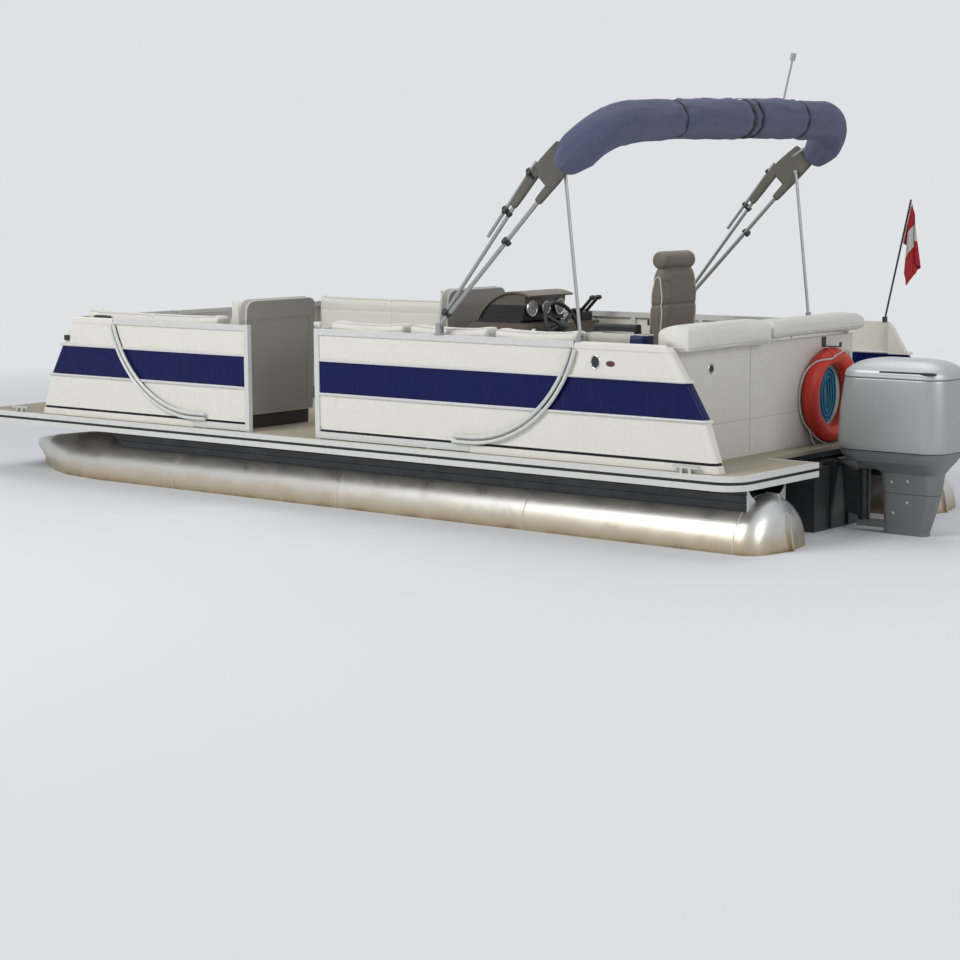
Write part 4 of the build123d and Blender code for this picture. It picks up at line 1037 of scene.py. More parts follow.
class DressInterior(bpy.types.Operator):
    """Finishes of the lounge bases, helm and chair frame."""

    bl_idname = "pontoon.interior"
    bl_label = "Lounge bases and helm"

    def execute(self, context):
        kick = (0.05, 0.047, 0.042)
        dress(finish(
            "lounge_base_plastic", (0.165, 0.160, 0.138), (0.45, 0.6), relief="grain", relief_scale=300.0,
            drift=0.06, bands=[(0.42, 0.50, kick)],
        ), "aft_lounge_bases", round_edges=0.006)
        dress(finish(
            "chaise_shell", (0.37, 0.36, 0.325), (0.42, 0.55), relief="grain", relief_scale=300.0, drift=0.05,
            bands=[(0.42, 0.521, kick)],
        ), "bow_lounge_bases", round_edges=0.006)
        for label, mesh, x in zip(("starboard", "port"), solids("bow_lounge_bases"), (0.430, 0.600)):
            welt(f"{label}_chaise_welt", mesh, vinyl_finishes(context)["piping"], "hull",
                 [((0.998, 0, 0.063), (x + 0.006, 0, 0.540))], 0.006)
        dress(finish(
            "console_moulding", (0.15, 0.125, 0.10), (0.3, 0.45), coat=0.2, drift=0.07,
            bands=[(1.055, 1.172, (0.022, 0.021, 0.021))],
        ), "helm_console", round_edges=0.008)
        dress(finish(
            "hood_vinyl", (0.20, 0.165, 0.13), (0.42, 0.56), relief="grain", relief_scale=420.0,
            relief_depth=0.0004, drift=0.08, sheen=0.05, specular=0.35,
        ), "console_visor", round_edges=0.003)
        dress(finish(
            "black_grained", (0.018, 0.018, 0.019), (0.4, 0.6), relief="grain", relief_scale=500.0, drift=0.1,
        ), "steering_wheel", "control_levers", "chair_frame", "lifebuoy_hook", "nav_lights",
            round_edges=0.002)
        dress(finish(
            "alloy_satin", (0.42, 0.42, 0.42), (0.30, 0.42), metallic=0.7, relief_scale=12.0,
            relief_depth=0.00005, drift=0.04,
        ), "chair_pedestal", "bimini_frame", "bimini_rail_mounts", "port_rear_strut", "starboard_rear_strut",
            "anchor_light")
        dress(finish("staff_black", (0.03, 0.028, 0.027), (0.35, 0.5), drift=0.08), "flagstaff")
        self.gauges()
        self.wheel_and_levers()
        return {"FINISHED"}

    def gauges(self):
        """Dials with rims, ticks and needles, and the ignition."""
        face = finish("dial_face", (0.50, 0.50, 0.48), (0.3, 0.45), relief_depth=0.0001, drift=0.08)
        ink = finish("dial_ink", (0.02, 0.02, 0.022), (0.4, 0.5), relief_depth=0.0001)
        aft, rims, faces, marks = Vector((-1, 0, 0)), [], [], []

        def mark(centre, lift, turn, start, end, thick):
            way = Vector((0, math.cos(turn), math.sin(turn)))
            ends = [centre + aft * lift + way * reach for reach in (start, end)]
            marks.append(tube("mark", ends, thick, resolution=1))

        for y, radius in ((-0.785, 0.052), (-0.635, 0.042), (-0.485, 0.052)):
            centre = Vector((-0.397, y, 1.150))
            rims.append(ring_skin("rim", [
                [
                    centre + aft * lift + Vector((0, math.cos(t), math.sin(t))) * (radius + grow)
                    for t in turns(48)
                ]
                for grow, lift in (
                    (0.002, -0.010), (0.003, 0.001), (0.001, 0.005), (-0.004, 0.006), (-0.007, 0.002),
                )
            ], caps=False))
            faces.append(disc("face", centre, aft, [
                (-0.001, radius - 0.003), (0.0016, radius - 0.004), (0.0018, 0.002),
            ]))
            for k in range(11):
                turn = math.radians(225 - 27 * k)
                long = 0.009 if k % 5 == 0 else 0.006
                mark(centre, 0.0022, turn, radius - 0.010 - long, radius - 0.010, 0.0009)
            mark(centre, 0.004, 2.4, -0.006, radius - 0.016, 0.0013)
            marks.append(disc("cap", centre, aft, [(0.002, 0.005), (0.005, 0.005), (0.006, 0.003)], 16))
        spot, normal = landing("helm_console", (-0.9, -0.455, 1.005), (1, 0, 0))
        rims.append(disc("ignition", spot, normal, [
            (-0.002, 0.020), (0.004, 0.020), (0.008, 0.016), (0.016, 0.015), (0.018, 0.011),
        ], 28))
        for name, parts, material in (
            ("gauge_faces", faces, face), ("gauge_marks", marks, ink), ("gauge_rims", rims, fitting_chrome()),
        ):
            link(joined(name, parts), material, "hull")

    def wheel_and_levers(self):
        """The wheel's hub cap and column boot, and the levers' grips."""
        grip = finish("grip_black", (0.02, 0.02, 0.021), (0.3, 0.45), relief="grain")
        tilt = math.radians(25)
        for name, steps in (
            ("wheel_hub_cap", [
                (-0.006, 0.030), (0.010, 0.031), (0.016, 0.027), (0.018, 0.012), (0.0185, 0.004),
            ]),
            ("wheel_column_boot", [
                (-0.098, 0.034), (-0.090, 0.036), (-0.070, 0.031), (-0.050, 0.029), (-0.030, 0.025),
                (-0.012, 0.024), (-0.010, 0.021),
            ]),
        ):
            piece = disc(name, (-0.545, -0.62, 1.035), (-math.cos(tilt), 0, math.sin(tilt)), steps, 36)
            link(piece, grip, "wheel")
        grips = []
        for y in (-1.085, -1.020):
            stem = [(-0.378, y, 1.092), (-0.420, y, 1.131), (-0.484, y, 1.194)]
            grips.append(tube("stem", smooth_line(stem), 0.0115, resolution=3))
            grips.append(disc("grip", (-0.490, y - 0.032, 1.2005), (0, 1, 0), [
                (0.0, 0.008), (0.003, 0.0145), (0.020, 0.0168), (0.040, 0.0155), (0.046, 0.010),
            ], 24))
        link(joined("lever_grips", grips), grip, "hull")


class DressMotor(bpy.types.Operator):
    """Finishes of the outboard."""

    bl_idname = "pontoon.motor"
    bl_label = "Outboard"

    LID = [  # height, and setbacks from the front, back and sides in millimetres
        (0.8835, 36, 17, 14), (0.888, 30, 11, 8), (0.900, 32, 12, 9), (0.920, 40, 19, 13),
        (0.942, 66, 40, 30), (0.962, 100, 72, 56), (0.978, 150, 118, 92), (0.986, 215, 180, 138),
    ]
    SHELL = [
        (0.4815, 3, 9, 7), (0.486, 0, 6, 4), (0.540, -4, 0, 0), (0.690, 4, 0, 0), (0.800, 18, 6, 4),
        (0.874, 31, 12, 9), (0.880, 35, 15, 12),
    ]
    HALF_WIDTH = 0.200

    def execute(self, context):
        paint = dict(relief_scale=300.0, drift=0.02, drift_scale=1.2, runs=0.03, relief_depth=0.00003)
        silver = finish(
            "motor_silver", context.scene.pontoon_hull.motor, (0.32, 0.40), metallic=0.6, coat=0.3, **paint,
        )
        # The lid's lighter copy of the motor silver is painted light: its top faces the lamps.
        bright = finish(
            "motor_silver_lit_top", (0.50, 0.52, 0.52), (0.38, 0.48), metallic=0.5, coat=0.1, **paint,
        )
        for name, rows, material in (("cowl_shell", self.SHELL, silver), ("cowl_lid", self.LID, bright)):
            link(self.loft(name, rows), material, "motor", replaced=("outboard_cowl",))
        dress(finish(
            "leg_silver", (0.215, 0.232, 0.226), (0.36, 0.48), metallic=0.5, coat=0.15, relief_scale=300.0,
            relief_depth=0.00004, drift=0.06, drift_scale=2.0, runs=0.12,
            bands=[(0.2330, 0.2365, (0.05, 0.055, 0.052))],
        ), "outboard_leg", round_edges=0.006)
        dress(finish(
            "motor_black", (0.02, 0.021, 0.022), (0.35, 0.55), metallic=0.3, drift=0.1, runs=0.2,
            dirt=(0.14, 0.13, 0.11),
        ), "transom_clamp", "swivel_bracket", "outboard_powerhead", "propeller", round_edges=0.003)
        self.slots_and_seals()
        self.bolts()
        return {"FINISHED"}

    def section(self, z, front, back, inset):
        """A rounded oblong of the cowl."""
        low, high = -3.040 - 0.685 + back / 1000, -3.040 - front / 1000
        half = self.HALF_WIDTH - inset / 1000
        corner = min(0.66 * half, (high - low) / 2 - 0.002)
        points = []
        for cx, cy, start in (
            (high - corner, half - corner, 0), (low + corner, half - corner, 90),
            (low + corner, -half + corner, 180), (high - corner, -half + corner, 270),
        ):
            for k in range(13):
                turn = math.radians(start + 90 * k / 12)
                points.append(Vector((cx + corner * math.cos(turn), cy + corner * math.sin(turn), z)))
        return points

    def loft(self, name, rows, steps=6):
        """A skin that curves smoothly through the cowl's levels."""
        rings = []
        for k in range(len(rows) - 1):
            four = [rows[max(k - 1, 0)], rows[k], rows[k + 1], rows[min(k + 2, len(rows) - 1)]]
            rings += [self.section(*glide(four, step / steps)) for step in range(steps)]
        rings.append(self.section(*rows[-1]))
        return ring_skin(name, rings)

    def slots_and_seals(self):
        """The air slots of the lid, and the seals between lid, shell and pan."""
        seal = finish("rubber_seal", (0.014, 0.014, 0.015), (0.5, 0.7), relief="grain", relief_depth=0.0002)
        parts = []
        for side, _ in SIDES:
            rings = []
            for share in (0.0, 0.02, 0.5, 0.98, 1.0):
                tall = 0.0075 if 0 < share < 1 else 0.004
                z = 0.918 + 0.002 * share
                spot = self.skin_width(z)
                rings.append([
                    Vector((-3.335 - 0.345 * share, side * (spot + dy), z + dz)) for dy, dz in
                    ((0.0012, -tall), (0.0016, 0), (0.0002, tall), (-0.008, tall), (-0.008, -tall))
                ])
            parts.append(ring_skin("slot", rings))
        for row, radius in (((0.8815, 37, 18, 14), 0.0042), ((0.4805, 3, 9, 6), 0.0030)):
            parts.append(tube("seal", self.section(*row), radius, cyclic=True, resolution=2))
        link(joined("cowl_slots_and_seals", parts), seal, "motor")

    def bolts(self):
        """The bolts of the leg, each on its washer."""
        steel = finish(
            "bolt_steel", (0.42, 0.43, 0.42), (0.34, 0.46), metallic=0.9, relief_depth=0.0001, drift=0.05,
        )
        parts = []
        for side, _ in SIDES:
            for x, z in ((-3.46, 0.305), (-3.36, 0.295), (-3.45, 0.185), (-3.36, 0.120)):
                spot, normal = landing("outboard_leg", (x, side * 0.5, z), (0, -side, 0))
                for steps, count in (
                    ([(-0.002, 0.0125), (0.0015, 0.0125), (0.002, 0.011)], 24),
                    ([(0.0, 0.0095), (0.005, 0.0095), (0.0065, 0.0075)], 6),
                ):
                    parts.append(disc("bolt", spot, normal, steps, count))
        link(joined("leg_bolts", parts), steel, "motor")

    def skin_width(self, z):
        """Half the lid's width at a height, near its straight side."""
        for (low, _, _, a), (high, _, _, b) in zip(self.LID, self.LID[1:]):
            if low <= z <= high:
                return self.HALF_WIDTH - (a + (b - a) * (z - low) / (high - low)) / 1000
        raise RuntimeError("the lid has no side at that height")


def vinyl_finishes(context):
    """The cream, navy, sand and taupe vinyls and their piping."""
    soft, hull = context.scene.pontoon_soft, context.scene.pontoon_hull
    rows = {
        "cream": soft.vinyl, "navy": hull.navy, "sand": (0.52, 0.50, 0.43), "taupe": soft.chair,
        "piping": (0.70, 0.68, 0.60),
    }
    return {
        key: finish(
            f"{key}_vinyl", color, (0.38, 0.52), relief="grain", relief_scale=420.0, relief_depth=0.0004,
            drift=0.05, sheen=0.05, specular=0.35, runs=0.05,
        )
        for key, color in rows.items()
    }


class PadLounges(bpy.types.Operator):
    """Seat cushions, backrests and stern bolsters, stuffed, sewn and piped."""

    bl_idname = "pontoon.lounges"
    bl_label = "Lounge cushions"

    SEATS = {  # the node that each seat replaces, and the way and places of the seams across it
        "stern_seat_pad": ("aft_lounge_cushions", (0, 1, 0), (-0.115, 0.47)),
        "aft_seat_pad": ("aft_lounge_cushions", (1, 0, 0), (-1.393, -0.758)),
        "starboard_bow_seat_pad": ("bow_lounge_cushions", (1, 0, 0), (1.367,)),
        "port_bow_seat_pad": ("bow_lounge_cushions", (1, 0, 0), (1.452,)),
    }
    BACKS = (
        "stern_back_pad", "aft_back_pad_1", "aft_back_pad_2", "aft_back_pad_3",
        "starboard_chaise_pad", "port_chaise_pad", "starboard_bow_back_pad", "port_bow_back_pad",
    )
    CHAIR_Y = -0.62
    CHAIR_BACK = [  # height, middle, half depth, half width
        (0.876, -1.421, 0.040, 0.190), (0.90, -1.418, 0.049, 0.214), (1.00, -1.412, 0.056, 0.226),
        (1.14, -1.418, 0.059, 0.229), (1.28, -1.424, 0.059, 0.222), (1.38, -1.430, 0.053, 0.206),
        (1.42, -1.432, 0.049, 0.190), (1.445, -1.431, 0.042, 0.172), (1.462, -1.430, 0.032, 0.150),
    ]

    def execute(self, context):
        vinyl = vinyl_finishes(context)
        crown = context.scene.pontoon_soft.crown
        made = {}
        for name, mesh in zip(self.SEATS, solids("aft_lounge_cushions") + solids("bow_lounge_cushions")):
            made[name] = STUFFING.add(
                name, mesh, voxel=0.018, reach=crown, proud=(0.002, 0.002, 0.014), flat=("-z",),
            )
        for name, mesh in zip(self.BACKS, solids("lounge_backrests")):
            made[name] = STUFFING.add(
                name, mesh, voxel=0.015, reach=crown, proud=(0.002, 0.004, 0.006), flat=("-z",),
            )
        corner = [(-2.462, 0.82), (-2.034, 0.82), (-2.034, 1.158), (-2.462, 1.158)]
        made["corner_pad"] = STUFFING.add(
            "corner_pad", prism("corner_pad", corner, 1.066, 1.174),
            voxel=0.013, reach=0.012, proud=(0.0, 0.002, 0.006), flat=("-z",),
        )
        for name, mesh in zip(("starboard_bolster", "port_bolster"), solids("stern_bolsters")):
            made[name] = STUFFING.add(
                name, mesh, voxel=0.013, inset=0.005, reach=0.014, proud=(0.004, 0.002, 0.008), flat=("-z",),
            )
        seat = [(-1.368, 0.853), (-0.934, 0.853), (-0.932, 0.945), (-1.368, 0.955)]
        made["chair_seat_pad"] = STUFFING.add(
            "chair_seat_pad", prism("chair_seat_pad", seat, self.CHAIR_Y - 0.248, self.CHAIR_Y + 0.248),
            voxel=0.013, inset=0.006, reach=0.024, proud=(0.004, 0.004, 0.010), flat=("-z",),
        )
        back = ring_skin("back", [
            [
                (middle + depth * boxy(math.cos(t), 0.6), self.CHAIR_Y + width * boxy(math.sin(t), 0.5), z)
                for t in turns(48)
            ]
            for z, middle, depth, width in self.CHAIR_BACK
        ])
        made["chair_back_pad"] = STUFFING.add(
            "chair_back_pad", back.data, voxel=0.011, inset=0.004, reach=0.016, proud=(0.006, 0.004, 0.006),
        )
        roll = disc(
            "roll", (-1.425, self.CHAIR_Y, 1.480), (0, 1, 0),
            [(-0.178, 0.030), (-0.172, 0.052), (-0.15, 0.062), (0.15, 0.062), (0.172, 0.052), (0.178, 0.030)],
        )
        made["chair_headrest"] = STUFFING.add(
            "chair_headrest", roll.data, voxel=0.010, inset=0.004, reach=0.010, proud=(0.003, 0.004, 0.003),
        )
        STUFFING.run()
        self.seats(made, vinyl)
        self.backs(made, vinyl)
        self.bolsters(made, vinyl)
        self.chair(made, vinyl)
        return {"FINISHED"}

    def seats(self, made, vinyl):
        planes = [((0, 0, 1), (0, 0, level)) for level in (0.884, 0.822)]
        for name, (node, way, places) in self.SEATS.items():
            pad = made[name]
            for place in places:
                crease(pad, way, Vector(way) * place, depth=0.009, width=0.010, where=lambda co: co.z > 0.84)
            link(pad, vinyl["cream"], "hull", replaced=(node,))
            welt(f"{name}_welt", pad.data, vinyl["piping"], "hull", planes)

    def backs(self, made, vinyl):
        for name in self.BACKS:
            pad = made[name]
            corners = [Vector(c) for c in pad.bound_box]
            low = Vector([min(c[k] for c in corners) for k in range(3)])
            high = Vector([max(c[k] for c in corners) for k in range(3)])
            middle = (low + high) / 2
            if "chaise" in name:
                planes = [((0.998, 0, 0.07), middle + Vector((s, 0, 0))) for s in (-0.045, 0.045)]
            else:
                along = 0 if high.x - low.x > high.y - low.y else 1
                across = 1 - along
                way, seam = Vector((along, 1 - along, 0)), Vector((1 - along, along, 0))
                planes = [(way, low + way * 0.024), (way, high - way * 0.024)]
                if high[along] - low[along] > 1:
                    crease(pad, seam, middle, depth=0.008, width=0.009)
                crease(pad, (0, 0, 1), (0, 0, high.z - 0.10), depth=0.005, width=0.009,
                       where=lambda co: abs(co[across]) < abs(middle[across]))
            link(pad, vinyl["cream"], "hull", replaced=("lounge_backrests",))
            welt(f"{name}_welt", pad.data, vinyl["piping"], "hull", planes)

    def bolsters(self, made, vinyl):
        for name, level in (("port_bolster", 1.083), ("starboard_bolster", 1.108)):
            pad = made[name]
            link(pad, vinyl["cream"], "hull", replaced=("stern_bolsters",))
            for vert in pad.data.vertices:
                wave = noise.noise(Vector((vert.co.x * 6, vert.co.y * 3.1, vert.co.z * 6)))
                vert.co += vert.normal * 0.003 * wave
            welt(f"{name}_welt", pad.data, vinyl["piping"], "hull", [((0, 0, 1), (0, 0, level))], 0.0035)
        pad = made["corner_pad"]
        link(pad, vinyl["sand"], "hull")
        second_tone(pad, vinyl["navy"], lambda centre, normal: -2.458 < centre.x < -2.352)
        welt("corner_pad_welt", pad.data, vinyl["piping"], "hull",
             [((0, 0, 1), (0, 0, 1.140)), ((1, 0, 0), (-2.352, 0, 0))], 0.0035)

    def chair(self, made, vinyl):
        for name in ("chair_seat_pad", "chair_back_pad", "chair_headrest"):
            link(made[name], vinyl["taupe"], "chair", replaced=("captains_chair",))
        back = made["chair_back_pad"]
        crease(back, (0.09, 0, 1), (-1.42, 0, 1.20), depth=0.006, width=0.010)
        welt("chair_back_welt", back.data, vinyl["piping"], "chair",
             [((0, 1, 0), (0, self.CHAIR_Y + s, 0)) for s in (-0.188, 0.188)])
        welt("chair_seat_welt", made["chair_seat_pad"].data, vinyl["piping"], "chair",
             [((0, 0, 1), (0, 0, level)) for level in (0.874, 0.934)])


# How far the folded top's arch stands above the level
LEAN = math.radians(44.6)
# From the roll's starboard bend to the flagstaff when the top is laid back as far as it goes
TOWARD_STAFF = Vector((-0.83, -0.48, 0.28))


def top_place(reach, y, lift=0.0):
    """A point of the folded top's arch, from its pivots."""
    return Vector((
        -1.06 - reach * math.cos(LEAN) + lift * math.sin(LEAN), y,
        1.15 + reach * math.sin(LEAN) + lift * math.cos(LEAN),
    ))


class RollTop(bpy.types.Operator):
    """The folded top's canvas roll with its straps, and the sleeves on its legs."""

    bl_idname = "pontoon.roll_top"
    bl_label = "Folded top"

    ROUTE = [  # reach along the arch, and y
        (1.28, 1.268), (1.617, 1.28), (1.653, 0.62), (1.69, 0.0), (1.6915, -0.62), (1.693, -1.28),
        (1.35, -1.27),
    ]
    SLEEVES = [  # reach, lift and half depth of each section
        [(1.345, 0.052, 0.080), (1.27, 0.056, 0.088), (1.19, 0.060, 0.093), (1.13, 0.062, 0.092),
         (1.115, 0.062, 0.086)],
        [(1.135, -0.002, 0.026), (1.08, -0.001, 0.025), (1.03, 0.0, 0.023), (1.01, 0.0, 0.020)],
        [(1.135, 0.126, 0.031), (1.06, 0.123, 0.031), (0.96, 0.114, 0.028), (0.885, 0.108, 0.024),
         (0.87, 0.107, 0.020)],
    ]
    CLAMPS = [  # reach, and the lifts between which each one sits
        (0.096, -0.014, 0.038), (0.820, 0.082, 0.144), (1.088, 0.106, 0.172), (0.700, -0.026, 0.018),
    ]

    def execute(self, context):
        canvas = finish(
            "top_canvas", context.scene.pontoon_soft.canvas, (0.75, 0.9), relief="weave", relief_scale=520.0,
            relief_depth=0.0006, drift=0.16, drift_scale=5.0, sheen=0.15, specular=0.2, runs=0.18,
            dirt=(0.20, 0.21, 0.24),
        )
        strap = finish(
            "strap_webbing", (0.026, 0.028, 0.038), (0.6, 0.8), relief="weave", relief_scale=900.0,
            relief_depth=0.0004, drift=0.1,
        )
        self.line = smooth_line([top_place(reach, y) for reach, y in self.ROUTE], step=0.010)
        self.walk = [0.0]
        for a, b in zip(self.line, self.line[1:]):
            self.walk.append(self.walk[-1] + (b - a).length)
        self.bands = [0.90, 1.56, 1.65, self.walk[-1] - 0.82]
        roll = ring_skin("canvas_roll", [self.ring(k) for k in range(len(self.line))])
        link(roll, canvas, "folded_top", replaced=("bimini_boot",))
        for number, band in enumerate(self.bands):
            near = sorted(range(len(self.walk)), key=lambda k: abs(self.walk[k] - band))
            rings = [self.ring(k, 0.0012) for k in sorted(near[:4 if number in (1, 2) else 2])]
            belt = ring_skin(f"belt_{number}", rings, caps=False)
            link(belt, strap, "folded_top")
            belt.modifiers.new("Webbing", "SOLIDIFY").thickness = 0.0018
        self.sleeves()
        self.clamps()
        return {"FINISHED"}

    def ring(self, k, lift=0.0):
        """One section of the roll: slack below, pinched under the straps, gathered at its ends."""
        line, here, total = self.line, self.walk[k], self.walk[-1]
        ahead = (line[min(k + 1, len(line) - 1)] - line[max(k - 1, 0)]).normalized()
        up = Vector((math.sin(LEAN), 0, math.cos(LEAN)))
        side = ahead.cross(up).normalized()
        pinch = sum(math.exp(-(((here - band) / 0.035) ** 2)) for band in self.bands)
        end = min(here, total - here)
        gather = 0.50 + 0.50 * min(1.0, (end / 0.13)) ** 0.6 if end < 0.13 else 1.0
        radii, ways = [], []
        for turn in turns(48):
            way = up * math.cos(turn) + side * math.sin(turn)
            place = Vector((math.cos(turn), math.sin(turn), 0))
            long_fold = noise.noise(place * 1.6 + Vector((0, 0, here * 1.7)))
            crumple = noise.noise(place * 3.4 + Vector((7, 3, here * 6.5 + 1.2 * math.sin(turn * 2))))
            ridge = 1 - abs(noise.noise(place * 2.3 + Vector((3, 9, here * 3.1 - turn * 0.5)))) * 2.6
            fan = sum(
                math.exp(-(((here - band) / 0.16) ** 2)) * math.sin(turn * 9 + (here - band) * 28)
                for band in self.bands
            )
            radius = 0.108 + 0.011 * long_fold + 0.006 * crumple + 0.008 * max(0.0, ridge - 0.45)
            radius += 0.010 * max(0.0, -way.z) + 0.0022 * fan
            radius -= (0.009 + 0.003 * math.cos(7 * turn)) * min(1.0, pinch)
            radius -= 0.005 * math.exp(-(((turn - 3.75) / 0.07) ** 2))
            room = 0.095 + 0.05 * abs(total - here - 0.32) + 0.020 * (1 - way.dot(TOWARD_STAFF))
            radii.append(min(radius, room) * gather)
            ways.append(way)
        if lift:
            wide = [max(radii[(n + s) % 48] for s in range(-3, 4)) for n in range(48)]
            radii = [sum(wide[(n + s) % 48] for s in range(-4, 5)) / 9 + lift for n in range(48)]
        return [line[k] + way * radius for way, radius in zip(ways, radii)]

    def sleeves(self):
        """Flat canvas sleeves over the arch's legs below the roll, the first run of each a wide web."""
        taupe = finish(
            "sleeve_canvas", (0.155, 0.148, 0.125), (0.7, 0.85), relief="weave", relief_scale=700.0,
            relief_depth=0.0005, drift=0.12,
        )
        thick = (top_place(1, 0, 1.0) - top_place(1, 0, 0.0)).normalized()
        for side, label in SIDES:
            parts = []
            for number, run in enumerate(self.SLEEVES):
                rings = []
                for reach, lift, half in run:
                    centre = top_place(reach, side * (1.24 + max(0.0, reach - 1.18) * 0.09), lift)
                    thin = 0.0150 + 0.05 * max(0.0, reach - 1.16) if number == 0 else 0.0158
                    rings.append([
                        centre + Vector((0, 1, 0)) * thin * boxy(math.cos(t), 0.45)
                        + thick * half * boxy(math.sin(t), 0.8)
                        for t in turns(28)
                    ])
                parts.append(ring_skin("sleeve", rings))
            link(joined(f"{label}_leg_sleeves", parts), taupe, "folded_top")

    def clamps(self):
        """The clamps that hold the folded legs together, each with a knob."""
        black = finish("clamp_black", (0.02, 0.02, 0.021), (0.35, 0.5), relief="grain", relief_depth=0.0002)
        way = top_place(1, 0, 1.0) - top_place(1, 0, 0.0)
        for side, label in SIDES:
            parts, out = [], Vector((0, side, 0))
            for reach, low, high in self.CLAMPS:
                centre, half = top_place(reach, side * 1.244, (low + high) / 2), (high - low) / 2
                parts.append(disc("clamp", centre, way, [
                    (-half - 0.0025, 0.012), (-half - 0.001, 0.0168),
                    (half + 0.001, 0.0168), (half + 0.0025, 0.012),
                ], 24))
                parts.append(disc("knob", centre + out * 0.012, out, [
                    (0, 0.007), (0.008, 0.007), (0.009, 0.014), (0.020, 0.015), (0.023, 0.011),
                ], 16))
            link(joined(f"{label}_frame_clamps", parts), black, "folded_top")


class HangRopes(bpy.types.Operator):
    """The tow rope's hank, the lifebuoy and its grab line."""

    bl_idname = "pontoon.ropes"
    bl_label = "Lifebuoy and ropes"

    CENTRE = Vector((-2.6924, -0.398, 0.715))
    HOLDS = [math.radians(degrees) for degrees in (10, 135, 225, 315)]
    GRAB_LINE = [  # degrees from the top towards port, distance, degrees towards aft
        (10, 0.0565, 78), (22, 0.060, 80), (34, 0.062, 55), (46, 0.062, 10), (58, 0.064, -22),
        (76, 0.069, -34), (98, 0.071, -36), (120, 0.066, -30), (135, 0.0575, -15), (160, 0.066, 12),
        (190, 0.068, 20), (225, 0.0575, 0), (255, 0.069, 10), (285, 0.068, 25), (315, 0.0575, 20),
        (338, 0.066, 42), (358, 0.060, 70),
    ]

    def execute(self, context):
        rope = finish(
            "tow_rope_braid", (0.075, 0.43, 0.74), (0.5, 0.7), relief="weave", relief_scale=900.0,
            relief_depth=0.0008, drift=0.34, drift_scale=45.0,
        )
        white = finish(
            "white_cord", (0.72, 0.71, 0.68), (0.6, 0.75), relief="weave", relief_scale=1400.0,
            relief_depth=0.0004, drift=0.1,
        )
        red = finish(
            "lifebuoy_shell", (0.66, 0.042, 0.022), (0.35, 0.5), relief_scale=60.0, relief_depth=0.0006,
            drift=0.06, drift_scale=6.0, runs=0.05, specular=0.4,
        )
        self.hank(rope)
        self.lifebuoy(red)
        self.grab_line(white)
        self.bands(red)
        return {"FINISHED"}

    def hank(self, rope):
        """Turns of wavy rope side by side, three deep, from the middle outward."""
        per_turn, deep, layers = 16, 3, 6
        points = []
        for layer in range(layers):
            for turn in range(deep):
                for step in range(per_turn):
                    share = (turn + step / per_turn) / deep
                    slide = share if layer % 2 == 0 else 1 - share
                    grow = layer + (max(0.0, share - 0.72) / 0.28 if layer < layers - 1 else 0.0)
                    angle = 2 * math.pi * step / per_turn
                    y = (0.029 + 0.0146 * grow) * math.sin(angle)
                    z = (0.094 + 0.0136 * grow) * math.cos(angle)
                    x = -2.6465 - 0.0285 * slide
                    points.append((x, -0.398 + y + 0.006 * math.sin(z * 44), 0.715 + z))
        length = length_of(points) * 0.975
        hank = hang_cord("tow_rope_hank", points, 0.0045, 2, 4, rope, length=length, lay="coiled")
        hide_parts("tow_rope")

    def at(self, turn, reach, bend, shift=0.0):
        """A place near the buoy: its turn from the top, how far off the core line, the turn about that."""
        out = Vector((0, math.sin(turn), math.cos(turn)))
        along = Vector((0, math.cos(turn), -math.sin(turn)))
        off = Vector((1, 0, 0)) * reach * math.sin(bend)
        return self.CENTRE + along * shift + out * (0.228 + reach * math.cos(bend)) + off

    def lifebuoy(self, red):
        rings = []
        for turn in turns(112):
            near = min(abs((turn - hold + math.pi) % (2 * math.pi) - math.pi) for hold in self.HOLDS)
            thin = 0.0015 * math.exp(-((near / 0.16) ** 2))
            rings.append([
                self.at(turn, 0.0515 - thin - 0.0012 * math.exp(-((math.sin(bend) / 0.08) ** 2)), bend)
                for bend in turns(36)
            ])
        buoy = ring_skin("lifebuoy_ring", rings + rings[:1], caps=False)
        bm = bmesh.new()
        bm.from_mesh(buoy.data)
        bmesh.ops.remove_doubles(bm, verts=bm.verts, dist=1e-5)
        bm.to_mesh(buoy.data)
        bm.free()
        link(buoy, red, "hull", replaced=("lifebuoy",))

    def grab_line(self, white):
        """The cord through the buoy's four holds, its knot, and its loose end down to the deck."""
        line, count = [], len(self.GRAB_LINE)
        for k in range(count):
            four = []
            for place in range(k - 1, k + 3):
                angle, reach, across = self.GRAB_LINE[place % count]
                four.append((angle + 360 * (place // count), reach, across))
            for step in range(10):
                angle, reach, across = glide(four, step / 10)
                line.append(self.at(math.radians(angle), reach, -math.radians(across)))
        end = line[80].copy()
        parts = [tube("grab_line", line, 0.0048, cyclic=True, resolution=3)]
        for s in (-1, 0, 1):
            parts.append(tube("knot", [
                end + Vector((0.002 * s, 0.0085 * math.cos(q), 0.0085 * math.sin(q) + 0.004 * s))
                for q in turns(14)
            ], 0.0044, cyclic=True, resolution=3))
        link(joined("lifebuoy_grab_line", parts), white, "hull")
        points = [
            end + Vector(step)
            for step in ((0, 0, 0), (-0.004, 0.004, -0.025), (-0.016, 0.005, -0.052), (-0.026, 0.002, -0.076))
        ]
        points += [
            Vector((end.x + x, end.y + y, 0.4352))
            for x, y in ((-0.046, -0.003), (-0.070, -0.008), (-0.092, -0.007))
        ]
        length = length_of(points) * 0.97
        hang_cord("grab_line_tail", points, 0.0042, 3, 8, white, length=length, lay="hanging")

